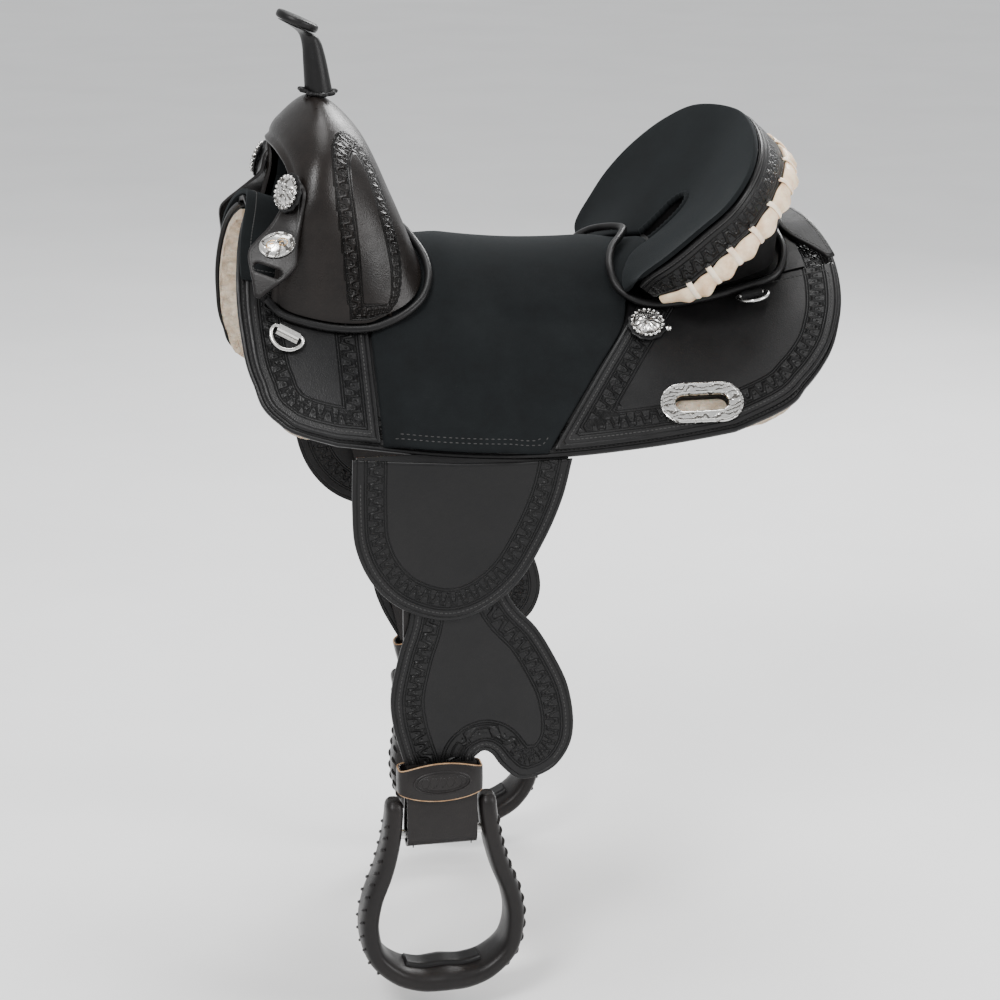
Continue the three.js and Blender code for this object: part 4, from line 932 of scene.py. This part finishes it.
LINING_DEPTH, LINING_STEP = 20, [-2, 0, 2]
lining_top, lining_low = face_at(notch_2d, 0.5), face_at(notch_2d, -LINING_DEPTH)
rings = [drawn_in(lining_top, -0.05), drawn_in(lining_top, 0.04), drawn_in(lining_low, 0.10),
         drawn_in(lining_low, 0.99), drawn_in(lining_low, 0.99) - LINING_STEP,
         drawn_in(lining_low, -0.02) - LINING_STEP]
v, f = loft(rings, closed=True)
piece("notch_lining", v, f, PLAIN, slot="black_leather", sharp=50)
roll = even(face_at(notch_2d, 3.6), 2.0)
puckers = 3.4 + 0.5 * np.sin(np.arange(len(roll)) * 2.1)
v, f = tube(roll, puckers, 12)
piece("notch_roll", v, f, SUEDE, slot="suede")
screw_out = unit(np.cross(lining_low[-1] - lining_low[0], lining_low[15] - lining_low[0]))
screw_out = screw_out if screw_out[0] < 0 else -screw_out
screw_dome = [(0, 0), (4.2, 0), (4.4, 0.8), (3.6, 2.2), (2.0, 3.0), (0, 3.3)]
side_axis = np.array([0, 1.0, 0])
for k, spot in enumerate(((-7, 22), (6, 40))):
    spot = face_at([face_pattern(*spot)], -18)[0]
    v, f = placed(lathe(screw_dome, 24), side_axis, np.cross(screw_out, side_axis), screw_out, spot)
    piece(f"notch_screw_{k}", v, f, BRIGHT, slot="silver")


BAND_START, BAND_STOP, BAND_SAG, BAND_THICKNESS = 0.17, 0.97, -2, 3.5
w_band = np.linspace(0.3, 13.7, 170)
t_band = np.concatenate([[BAND_START, 0.18, 0.20], np.linspace(0.23, 0.91, 22), [0.94, 0.96, BAND_STOP]])
tt = np.broadcast_to(t_band[:, None], (len(t_band), len(w_band)))
from_edge = np.minimum(tt - BAND_START, BAND_STOP - tt)
edge_fall = 1.4 * (1 - np.sqrt(1 - np.clip(1 - from_edge / 0.03, 0, 1) ** 2))
top = cantle_sheet("rim", "band", t_band, w_band, edge_fall, BAND_SAG)
bottom = cantle_sheet("rim", "band", t_band, w_band, BAND_THICKNESS, BAND_SAG)
arc = np.concatenate([[0], np.cumsum(np.linalg.norm(np.diff(top[len(t_band) // 2], axis=0), axis=1))])
width = np.linalg.norm(top[-1] - top[0], axis=-1)
depth_mm = (tt - BAND_START) / 0.80 * width[None]
uv = np.stack([np.broadcast_to(arc, tt.shape), 4 + depth_mm * 42 / width.max()], -1).reshape(-1, 2) / 100
v, f = slab(top, bottom)
piece("cantle_band_leather", v, f, BAND, uv=np.vstack([uv, uv]), slot="black_leather",
      replaces=("cantle_band",))
band_out = unit(np.cross(np.gradient(top, axis=1), np.gradient(top, axis=0)))
band_out *= np.sign((band_out * (top - top.mean((0, 1)))).sum(-1).mean())
for k, row in enumerate((4, -5)):
    v, f = stitches(top[row], band_out[row], 4.6)
    piece(f"cantle_band_stitches_{k}", v, f, THREAD, slot="black_leather")

# rawhide: a scalloped strip over the outer edge, laced at each hollow
SCALLOPS = 19
RAW_START, RAW_STOP = 0.6, 13.4
w_raw = np.linspace(RAW_START, RAW_STOP, 380)
raw_a, raw_b = spline(CANTLE["band"], w_raw), spline(CANTLE["rawhide"], w_raw)
raw_across = unit(raw_b - raw_a)
raw_along = unit(np.gradient(raw_a, axis=0))
raw_out = unit(np.cross(raw_across, raw_along))
raw_out *= np.sign((raw_out * (raw_a - raw_a.mean(0))).sum(-1))[:, None]
scallop = 0.5 - 0.5 * np.cos(2 * math.pi * SCALLOPS * (w_raw - RAW_START) / (RAW_STOP - RAW_START))
fade = ramp(w_raw, 0.8, 2.6) * ramp(-w_raw, -13.2, -11.4)
bulge = (1.0 + 5.2 * scallop * fade)[:, None]
raw_width = np.linalg.norm(raw_b - raw_a, axis=1)[:, None]
rings = []
for a, h in ((-0.10, 0.6), (-0.08, 2.4), (0.18, 3.4), (0.5, 3.9), (0.8, 3.3), (1.0, 1.6), (1.06, -0.6),
             (0.85, -2.6), (0.4, -3.0), (0.0, -2.0)):
    puff = bulge * (0.55 + 0.45 * math.sin(math.pi * min(max(a, 0), 1)))
    widened = bulge if a > 0.7 else -bulge * 0.7 if a < 0 else 0
    rings.append(raw_a + raw_across * (raw_width * a + widened * 0.9)
                 + raw_out * (h + (puff - 1.2) * (0.55 if h > 0 else -0.2)))
v, f = loft(np.stack(rings, 1))
piece("rawhide_edge", v, f, RAWHIDE, slot="rawhide", replaces=("rawhide_binding",), sharp=70)
# Painted shade: thin dark square discs where the laces go into the band stand for the shadow inside the lace
# holes.
hole_shadow_profile = [(0, 0), (3.2, 0), (3.2, 0.5), (0, 0.5)]
laces, holes = [], []
for k in range(2, SCALLOPS - 1):
    i = int(round(k / SCALLOPS * (len(w_raw) - 1)))
    a, across, out, along = raw_a[i], raw_across[i], raw_out[i], raw_along[i]
    size = float(raw_width[i, 0])
    line = [a + across * x + out * h + along * s for x, h, s in
            ((-7.2, -0.4, -1.2), (-5.4, 1.4, -0.8), (-1.0, 3.4, 0), (size * 0.5, 3.9, 0.6),
             (size * 0.95, 2.8, 1.2), (size + 1.6, 0.0, 1.8), (size + 0.4, -3.0, 2.2))]
    laces.append(tube(smooth_line(line, 5), 3.1, 10, flat=0.5, wide=along))
    holes.append(placed(lathe(hole_shadow_profile, 4), along, across, out, a - across * 8.4 + out * 1.0))
v, f = join(*laces)
piece("rawhide_lacing", v, f, LACE, slot="rawhide")
# The lace holes' painted shade, as dark discs.
v, f = join(*holes)
piece("lacing_hole_shadows", v, f, THREAD, slot="black_leather")

BACK_OUTER, BACK_INNER, BACK_SAG = 1.5, 5.0, 3
back_t, back_w = np.linspace(0.10, 0.97, 24), np.linspace(1.3, 12.7, 120)
top, bottom = (cantle_sheet("rawhide", "base", back_t, back_w, depth, BACK_SAG)
               for depth in (BACK_OUTER, BACK_INNER))
v, f = slab(top, bottom)
piece("cantle_back_leather", v, f, PLAIN, slot="black_leather", replaces=("cantle_back",))


def closed_smooth(points, per=8):
    p = np.asarray(points, float)
    ext = np.vstack([p[-2:], p, p[:3]])
    return spline(ext, np.linspace(2, 2 + len(p), len(p) * per, endpoint=False))


half = np.array([drape(x, -s, h) for x, s, h in (
    (284, 0, 27.2), (284, 40, 27.2), (282, 70, 27.2), (266, 94, 27.2), (233, 100, 27.2), (178, 104, 27.2),
    (131, 101, 28.6), (104, 84, 33.2), (98, 62, 38.6), (106, 38, 39.2), (122, 18, 39.4), (131, 0, 39.4))])
cantle_welt = closed_smooth(np.vstack([half, half[-2:0:-1] * [1, -1, 1]]))
v, f = tube(cantle_welt, WELT_RADIUS, 14, closed=True)
piece("cantle_welt_leather", v, f, PLAIN, slot="black_leather", replaces=("cantle_welt",))

# ---------- keepers and silver ----------
KEEPER = [(-223, -98, 117), (-226, -101, 97), (-236, -111, 77), (-249, -124, 56), (-260, -133, 34),
          (-272, -138, 9)]
KEEPER_LENGTH = 122
KEEPER_EASE = 0.6
KEEPER_SCREW, KEEPER_BADGE, KEEPER_SLOT = 15, 71, 95
KEEPER_WIDTH = through([[0, 5], [4, 11], [9, 14], [15, 15], [35, 13.5], [59, 16.5], [75, 23], [81, 25],
                        [90, 23], [99, 17.5], [111, 8.5], [119, 3]])


def keeper_at(distance):
    return spline(KEEPER, np.clip(distance / KEEPER_LENGTH, 0, 1) * (len(KEEPER) - 1))


def keeper_frame(distance):
    """The keeper's point, across, down and outward directions, distance down its middle."""
    down = unit(keeper_at(distance + 2) - keeper_at(distance - 2))
    k = float(ramp(distance, 20, 60))
    across = np.array([0.47, -0.88, 0]) * (1 - k) + np.array([0.885, -0.38, -0.267]) * k
    across = unit(across - across @ down * down)
    return keeper_at(distance), across, down, np.cross(down, across)


def on_keeper(p, h):
    h = np.broadcast_to(h, len(p))
    out = []
    for (a, dist), height in zip(p, h):
        centre, across, _, outward = keeper_frame(dist)
        out.append(centre + across * a + outward * (height + KEEPER_EASE))
    return np.array(out)


dist = np.linspace(0, 119.5, 50)
half_width = KEEPER_WIDTH(dist)
keeper_loop = np.vstack([np.stack([half_width, dist], -1), np.stack([-half_width, dist], -1)[::-1]])
keeper_loop = even(keeper_loop, 2.6, closed=True)
strap_slot = stadium(30, 8) + [0, KEEPER_SLOT]
v, f, uv = panel(keeper_loop, on_keeper, (0, 4.2), holes=(strap_slot,), grid=4.0, round_over=1.4)
pair("keeper_leather", v, f, STRAP, body="keeper", node="latigo_keeper", uv=uv, slot="black_leather")
v, f = sew(keeper_loop, 3.6, on_keeper, 4.1, lambda q: q[:, 1] > 8)
pair("keeper_stitches", v, f, THREAD, body="keeper", slot="black_leather")


PETALS = 12


def concho(name, x, y, z, origin, body, node):
    """A berry-edged silver concho with a chased dome, on a scalloped leather rosette."""
    axes = (x, y, z, np.asarray(origin, float))
    v, f = lathe([(0, 0), (18.6, 0), (19.8, 0.8), (19.4, 2.4), (18.0, 3.0), (0, 3.0)], 72)
    angle = np.arctan2(v[:, 1], v[:, 0])
    v[:, :2] *= (1 + 0.028 * np.cos(angle * PETALS))[:, None]
    v, f = placed((v, f), *axes)
    pair(f"{name}_rosette", v, f, PLAIN, body=body, slot="black_leather")

    def petals(a, r, h):
        return 0.55 * np.cos(a * PETALS) * np.sin(min(max((r - 3.2) / 9.0, 0), 1) * math.pi)

    dome = lathe([(0, 3.0), (15.6, 3.0), (15.8, 5.4), (14.6, 6.2), (13.0, 6.0), (12.0, 6.8), (10, 7.9),
                  (7.6, 8.7), (5, 9.2), (3.4, 9.2), (3.2, 9.9), (1.6, 10.3), (0, 10.3)], 96, petals)
    berries = [ball(np.array([15.6 * math.cos(a), 15.6 * math.sin(a), 5.2]), 2.15, 6, 10)
               for a in np.linspace(0, 2 * math.pi, 20, endpoint=False)]
    v, f = placed(join(dome, *berries), *axes)
    pair(f"{name}_silver", v, f, SILVER, body=body, node=node, slot="silver")


def turned(x, y, angle):
    """x and y turned by an angle."""
    return x * math.cos(angle) - y * math.sin(angle), x * math.sin(angle) + y * math.cos(angle)


c, across, _, _ = keeper_frame(KEEPER_SCREW)
chord = unit(keeper_at(34) - keeper_at(0))
across = unit(across - across @ chord * chord)
out = np.cross(chord, across)
concho("swell_concho_top", across, -chord, out, c + out * 9.6, "keeper", "swell_concho")
BADGE_TURN, BADGE_LIFT = 0.6, 5
c, across, down, out = keeper_frame(KEEPER_BADGE)
v, f = lathe([(0, 0), (17.4, 0), (18, 0.8), (17.8, 1.8), (16.8, 2.2), (15.8, 1.8), (15.2, 2.4), (10, 3.6),
              (5, 4.3), (0, 4.5)], 64)
v = np.stack([*turned(v[:, 0], v[:, 1] * 0.74, BADGE_TURN), v[:, 2]], -1)
v, f = placed((v, f), across, -down, out, c + out * BADGE_LIFT)
pair("keeper_badge", v, f, SILVER, body="keeper", node="keeper_concho", slot="silver")
spiral = []
for hand in (-1, 1):
    a = np.linspace(0.4, 8.6, 46)
    r = 0.9 + a * 0.62
    sx, sy = hand * (5.6 + 0 * a) + r * np.cos(a) * hand, r * np.sin(a) * 0.8
    height = 4.6 - ((sx / 18) ** 2 + (sy / 13.3) ** 2) * 2.4
    spiral.append(tube(np.stack([*turned(sx, sy, BADGE_TURN), height], -1), 0.42, 6))
v, f = placed(join(*spiral), across, -down, out, c + out * BADGE_LIFT)
pair("keeper_badge_scroll", v, f, GOLD, body="keeper", slot="silver")

SKIRT_CONCHO, SKIRT_STUD = (126, -122), (147, -128)
along, _, out = surface_frame(*SKIRT_CONCHO)
concho("skirt_concho_top", along, np.cross(out, along), out, drape(*SKIRT_CONCHO, LEATHER_TOP + 0.8), None,
       "skirt_concho")
stud = lathe([(0, 0), (3.6, 0), (3.7, 0.8), (2.8, 1.9), (0, 2.6)], 24)
along, _, out = surface_frame(*SKIRT_STUD)
v, f = placed(stud, along, np.cross(out, along), out, drape(*SKIRT_STUD, LEATHER_TOP))
pair("skirt_stud", v, f, BRIGHT, slot="silver")


def on_plate(p, h):
    h = np.broadcast_to(h, len(p))[:, None]
    middle = drape(PLATE_X, -PLATE_S, LEATHER_TOP + 0.8)
    return middle + p[:, :1] * plate_along + p[:, 1:] * plate_up + p_out * h


v, f, uv = panel(stadium(*PLATE_SIZE, 24), on_plate, (0, 3.2), holes=(slot,), grid=3.5, round_over=1.3)
pair("slot_plate_silver", v, f, SILVER, node="slot_plate", uv=uv, slot="silver")
rope = []
for loop_, tube_r in ((stadium(79, 40, 24), 0.75), (stadium(58.5, 22.5, 24), 0.6)):
    rope.append(tube(on_plate(loop_, 3.3), tube_r, 8, closed=True))
v, f = join(*rope)
pair("slot_plate_beading", v, f, BRIGHT, slot="silver")


def dee(name, bar, along, bow, width, reach, body, node):
    half = width / 2
    loop = [[-half, 0], [-half / 2, 0], [0, 0], [half / 2, 0], [half, 0], [half + 2, -reach * 0.35],
            [half * 0.75, -reach * 0.8], [0, -reach], [-half * 0.75, -reach * 0.8],
            [-half - 2, -reach * 0.35]]
    loop = closed_smooth(loop)
    line = bar + loop[:, :1] * along - loop[:, 1:] * bow
    v, f = tube(line, 2.0, 14, closed=True)
    pair(name, v, f, BRIGHT, body=body, node=node, slot="silver")


FRONT_DEE, FRONT_DEE_TURN = (-238.4, -145.5, 27.8), math.radians(17.6)
REAR_DEE, REAR_DEE_DROOP = (237, -110.5, 28), math.radians(4)
along, down, _ = surface_frame(*FRONT_DEE[:2])
bar_way = along * math.cos(FRONT_DEE_TURN) + down * math.sin(FRONT_DEE_TURN)
bow = down * math.cos(FRONT_DEE_TURN) - along * math.sin(FRONT_DEE_TURN)
dee("front_dee_ring", drape(*FRONT_DEE), bar_way, bow, 29, 19, "front_ring", "front_dee")
along, _, _ = surface_frame(*REAR_DEE[:2])
bow = np.array([0, -math.cos(REAR_DEE_DROOP), -math.sin(REAR_DEE_DROOP)])
bow = unit(bow - bow @ along * along)
dee("rear_dee_ring", drape(*REAR_DEE), along, bow, 28, 22, "rear_ring", "rear_dee")

# ---------- leg flap, fender and stirrup ----------
def standing(y):
    """Puts an (x, z) pattern in a plane of constant y, height outward."""
    return lambda p, h: np.stack([p[:, 0], np.full(len(p), -float(y)) - h, p[:, 1]], -1)


FLAP_PLANE, FENDER_PLANE, ROOT_PLANE = 202, 196.5, 187.4
flap = smooth_line([[-190, -139], [-191, -190], [-188, -230], [-172, -267], [-143, -295], [-100, -310],
                    [-60, -302], [-24, -274], [2, -232], [20, -190], [30, -150]])
flap_loop = outline([flap, [(30, -150), (-20, -151), (-80, -149), (-140, -144), (-190, -139)]])
flap_border = even(np.vstack([flap, [(30, -60), (-190, -60)]]), 4, closed=True)
v, f, uv = panel(flap_loop, standing(FLAP_PLANE), (0, 4), border=flap_border)
pair("flap_leather", v, f, TOOLED, body="flap", node="leg_flap", uv=uv, slot="black_leather")
v, f = sew(flap_loop, 8.0, standing(FLAP_PLANE), 3.9, lambda q: q[:, 1] < -162)
pair("flap_stitches", v, f, THREAD, body="flap", slot="black_leather")

root_x = np.linspace(-184, 27, 60)
root_z = through([[-190, -150], [-130, -150], [-60, -153], [0, -155], [30, -153]])(root_x)
root_top = np.stack([root_x, -190.5 + 0 * root_x - 6 * ramp(root_x, -120, 0), root_z + 9], -1)
root_low = np.stack([root_x, -200.5 + 0 * root_x, root_z - 7], -1)
root_skin = np.stack([root_low, (root_top + root_low) / 2 + [0, -1.5, 0], root_top])
v, f = slab(root_skin, root_skin + [0, 2.5, 0])
pair("flap_root", v, f, PLAIN, slot="black_leather")

# the stirrup leather's own run up under the skirt, which the fender swings against
root_loop = outline([[(-63, -214), (-63, -143)], [(-63, -143), (-107, -143)], [(-107, -143), (-107, -214)],
                     [(-107, -214), (-63, -214)]], 3.0)
v, f, uv = panel(root_loop, standing(ROOT_PLANE), (0, 3.4))
pair("stirrup_leather_root", v, f, STRAP, uv=uv, slot="black_leather")

fender_a = smooth_line([[-85, -166], [-118, -180], [-132, -215], [-133, -300], [-145, -345], [-154, -388],
                        [-152, -420], [-144, -452], [-139, -470], [-139, -500]])
fender_b = smooth_line([[-68.5, -460], [-60, -454], [-51, -458], [-41, -472], [-24, -487], [-6, -487],
                        [16, -476], [31, -453], [34, -425], [28, -390], [15, -360], [-4, -327], [-26, -302],
                        [-36, -278], [-38, -215], [-52, -180], [-85, -166]])
fender_loop = outline([fender_a, [(-139, -500), (-69, -500), (-68.5, -460)], fender_b])
v, f, uv = panel(fender_loop, standing(FENDER_PLANE), (0, 4))
pair("fender_leather", v, f, TOOLED, body="fender_hang", hangs=True, node="fender", uv=uv,
     slot="black_leather")
v, f = sew(fender_loop, 8.0, standing(FENDER_PLANE), 3.9, lambda q: q[:, 1] > -468)
pair("fender_stitches", v, f, THREAD, body="fender_hang", hangs=True, slot="black_leather")

# hobble strap: lens-shaped in front, narrow behind
HOBBLE_X, HOBBLE_Z = -105, -479
HOBBLE_FRONT, HOBBLE_LEAN = -199, 1.03


def rounded(angle, power):
    """Cosine and sine of an angle, squared off toward a rectangle by a power under 1."""
    c, s = np.cos(angle), np.sin(angle)
    return np.sign(c) * np.abs(c) ** power, np.sign(s) * np.abs(s) ** power


def hobble_half(x, y):
    """Half the strap's height at a point of its loop."""
    return 10.5 + (9.0 * np.clip(1 - ((x - HOBBLE_X) / 46) ** 2, 0, 1) if y < HOBBLE_FRONT else 2.0)


hob_c, hob_s = rounded(np.linspace(0, 2 * math.pi, 121)[:-1], 0.42)
hob = even(np.stack([HOBBLE_X + 42.1 * hob_c, -199.1 + 13.9 * hob_s], -1), 3.0, closed=True)
hob_n = -inward(hob)
section = [(-1.5, 1.0), (-1.5, -1.0), (-0.9, -HOBBLE_LEAN), (0.9, -HOBBLE_LEAN), (1.5, -0.98), (1.7, 0),
           (1.5, 0.98), (0.9, HOBBLE_LEAN), (-0.9, HOBBLE_LEAN)]
rings = [[(x + nx * o, y + ny * o, HOBBLE_Z + hobble_half(x, y) * e) for o, e in section]
         for (x, y), (nx, ny) in zip(hob, hob_n)]
v, f = loft(rings, closed=True)
pair("hobble_leather", v, f, STRAP, body="fender_hang", hangs=True, node="hobble_strap", slot="natural_edge")
cut_edges = [tube([(x + nx * 0.6, y + ny * 0.6, HOBBLE_Z + side * hobble_half(x, y) * HOBBLE_LEAN)
                   for (x, y), (nx, ny) in zip(hob, hob_n)], 0.8, 6, closed=True) for side in (-1, 1)]
v, f = join(*cut_edges)
pair("hobble_cut_edge", v, f, TAN, body="fender_hang", hangs=True, slot="natural_edge")


def oval(x, y, wide, high, thick):
    """A raised oval line on the hobble strap's front."""
    a = np.linspace(0, 2 * math.pi, 80, endpoint=False)
    line = [HOBBLE_X + x + wide * np.cos(a), np.full(80, y), HOBBLE_Z + high * np.sin(a)]
    return tube(np.stack(line, -1), thick, 6, closed=True)


v, f = join(oval(0, -214.6, 29, 12, 0.9), oval(0, -214.6, 25.5, 9.2, 0.6),
            *(oval(k * 8.5, -214.5, 3.6, 5.2, 0.55) for k in range(-2, 3)))
pair("hobble_ornament", v, f, STRAP, body="fender_hang", hangs=True, slot="black_leather")

STIRRUP_X, STIRRUP_Y = -104, -197
ARM = [[-48, -500], [-49, -520], [-53, -548], [-61, -578], [-72, -608], [-76, -638], [-69, -668],
       [-48, -688], [-24, -696], [0, -696]]
RADIAL = through([[0, 9], [3, 10], [6, 10.4], [7.5, 11.8], [9, 13]])
DEPTH = through([[0, 13], [2, 19], [5, 22], [7, 28], [9, 33]])
ARM_END = 2 * (len(ARM) - 1)
path = ARM + [[-x, z] for x, z in ARM[-2::-1]]
q = np.linspace(0, ARM_END, 127)
line = spline([[STIRRUP_X + x, STIRRUP_Y, z] for x, z in path], q)
step_in = unit(np.gradient(line, axis=0))
inner_way = np.stack([-step_in[:, 2], np.zeros(len(q)), step_in[:, 0]], -1)
ring_c, ring_s = rounded(np.linspace(0, 2 * math.pi, 36, endpoint=False), 0.72)
along_q = np.minimum(q, ARM_END - q)
radial, deep = RADIAL(along_q), DEPTH(along_q)
taper = np.where(along_q < 0.35, np.sqrt(np.clip(along_q / 0.35, 0, 1)) * 0.35 + 0.65, 1)
rings = [line[i] + inner_way[i] * (radial[i] * taper[i] * ring_c)[:, None]
         + np.array([0, 1, 0]) * (deep[i] * taper[i] * ring_s)[:, None] for i in range(len(q))]
v, f = loft(rings)
pair("stirrup_leather_cover", v, f, STRAP, body="stirrup_swing_part", hangs=True, node="stirrup",
     slot="black_leather")
LACE_PATH = ((-5.6, -3.0, -3.0), (-3.0, -1.0, -1.5), (0, -0.3, 0), (3.0, -1.0, 1.5), (5.6, -3.0, 3.0))
laces = []
for i in [*range(9, 47, 3), *range(81, len(q) - 9, 3)]:
    for edge in (-0.52, 0.52):
        pts = [line[i] - inner_way[i] * (radial[i] + o) + np.array([0, edge * deep[i] + y, 0])
               + step_in[i] * s for y, o, s in LACE_PATH]
        laces.append(tube(smooth_line(pts, 3), 1.7, 7))
v, f = join(*laces)
pair("stirrup_lacing", v, f, STRAP, body="stirrup_swing_part", hangs=True, slot="black_leather")


def tread_grid(height):
    """Points over the stirrup's foot, height(y) above its centre line."""
    return np.array([[line[i] + inner_way[i] * (radial[i] + height(y)) + [0, y, 0]
                      for y in np.linspace(-12.2, 12.2, 13)] for i in range(50, 77)])


tread = tread_grid(lambda y: 4.0 - 2.6 * np.clip((abs(y) - 9) / 3.2, 0, 1) ** 2)
v, f = slab(tread, tread_grid(lambda y: -1.0))
pair("tread_leather", v, f, PLAIN, body="stirrup_swing_part", hangs=True, node="stirrup_tread",
     slot="black_leather", sharp=70)
for x, end in ((-30, "front"), (30, "rear")):
    zz = np.linspace(-505, -552, 24)
    pts = np.stack([np.full(24, float(STIRRUP_X + x)), -207.4 + 1.4 * ramp(-zz, 516, 552), zz], -1)
    v, f = stitches(pts, np.tile([0, -1.0, 0], (24, 1)), 4.6)
    pair(f"neck_stitches_{end}", v, f, THREAD, body="fender_hang", hangs=True, slot="black_leather")

# ---------- the CAD nodes that stay ----------
KEPT = {"ground_seat": PLAIN, "seat_foam": PLAIN, "fork_core": SUEDE, "horn_post": BRIGHT,
        "cantle_core": PLAIN}
for side in ("near", "off"):
    KEPT.update({f"{side}_flap_hanger": PLAIN, f"{side}_front_dee_clip": BRIGHT, f"{side}_rear_chape": PLAIN,
                 f"{side}_stirrup_leather": STRAP, f"{side}_stirrup_bolt": BRIGHT})
for name, material in KEPT.items():
    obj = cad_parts[name]
    obj.data.materials.clear()
    obj.data.materials.append(material)
    if any(part in name for part in ("clip", "chape", "leather")):
        mod = obj.modifiers.new("edge", "BEVEL")
        mod.width, mod.segments, mod.limit_method, mod.angle_limit = 0.0006, 2, "ANGLE", math.radians(50)

# ---------- floor, light and camera ----------
scene = bpy.context.scene


def plain_floor():
    mesh = bpy.data.meshes.new("floor")
    half, z = 12.0, -0.735
    corners = [(-half, -half, z), (half, -half, z), (half, half, z), (-half, half, z)]
    mesh.from_pydata(corners, [], [(0, 1, 2, 3)])
    obj = bpy.data.objects.new("floor", mesh)
    scene.collection.objects.link(obj)
    g = Nodes("pale_floor", Roughness=0.9, Specular_IOR_Level=0.1)
    pale = g.colours(g.noise(3.0), [(0.3, (0.86, 0.86, 0.86)), (0.7, (0.90, 0.90, 0.90))])
    obj.data.materials.append(g.finish(pale))


def facing(place, way):
    """The matrix of something at place whose back faces along way."""
    return Matrix.Translation(place) @ way.to_track_quat("Z", "Y").to_matrix().to_4x4()


def area_light(name, place, target, size, power):
    data = bpy.data.lights.new(name, "AREA")
    data.shape, data.size, data.energy = "DISK", size, power
    obj = bpy.data.objects.new(name, data)
    scene.collection.objects.link(obj)
    obj.matrix_world = facing(Vector(place), Vector(place) - Vector(target))


plain_floor()
area_light("key", (-1.6, -2.3, 2.2), (0, 0, -0.1), 1.2, 110)
area_light("fill", (2.4, -1.8, 1.0), (0, 0, -0.1), 1.6, 60)
area_light("top", (0.2, 0.4, 2.4), (0, 0, 0), 1.8, 55)
area_light("rim", (1.6, 2.2, 1.4), (0, 0, 0), 1.2, 60)
world = bpy.data.worlds.new("studio")
world.use_nodes = True
world.node_tree.nodes["Background"].inputs[0].default_value = (0.93, 0.94, 0.95, 1)
world.node_tree.nodes["Background"].inputs[1].default_value = 0.9
scene.world = world

AZIMUTH, ELEVATION, DISTANCE = math.radians(-12), math.radians(16.5), 3.0
SENSOR = 36
FOCAL = 2.816 * SENSOR
target = Vector((0, 0, -0.25))
back = Vector((math.sin(AZIMUTH) * math.cos(ELEVATION), -math.cos(AZIMUTH) * math.cos(ELEVATION),
               math.sin(ELEVATION)))
camera_data = bpy.data.cameras.new("camera")
camera_data.lens, camera_data.sensor_width = FOCAL, SENSOR
camera = bpy.data.objects.new("camera", camera_data)
scene.collection.objects.link(camera)
camera.matrix_world = facing(target + back * DISTANCE, back)
scene.camera = camera
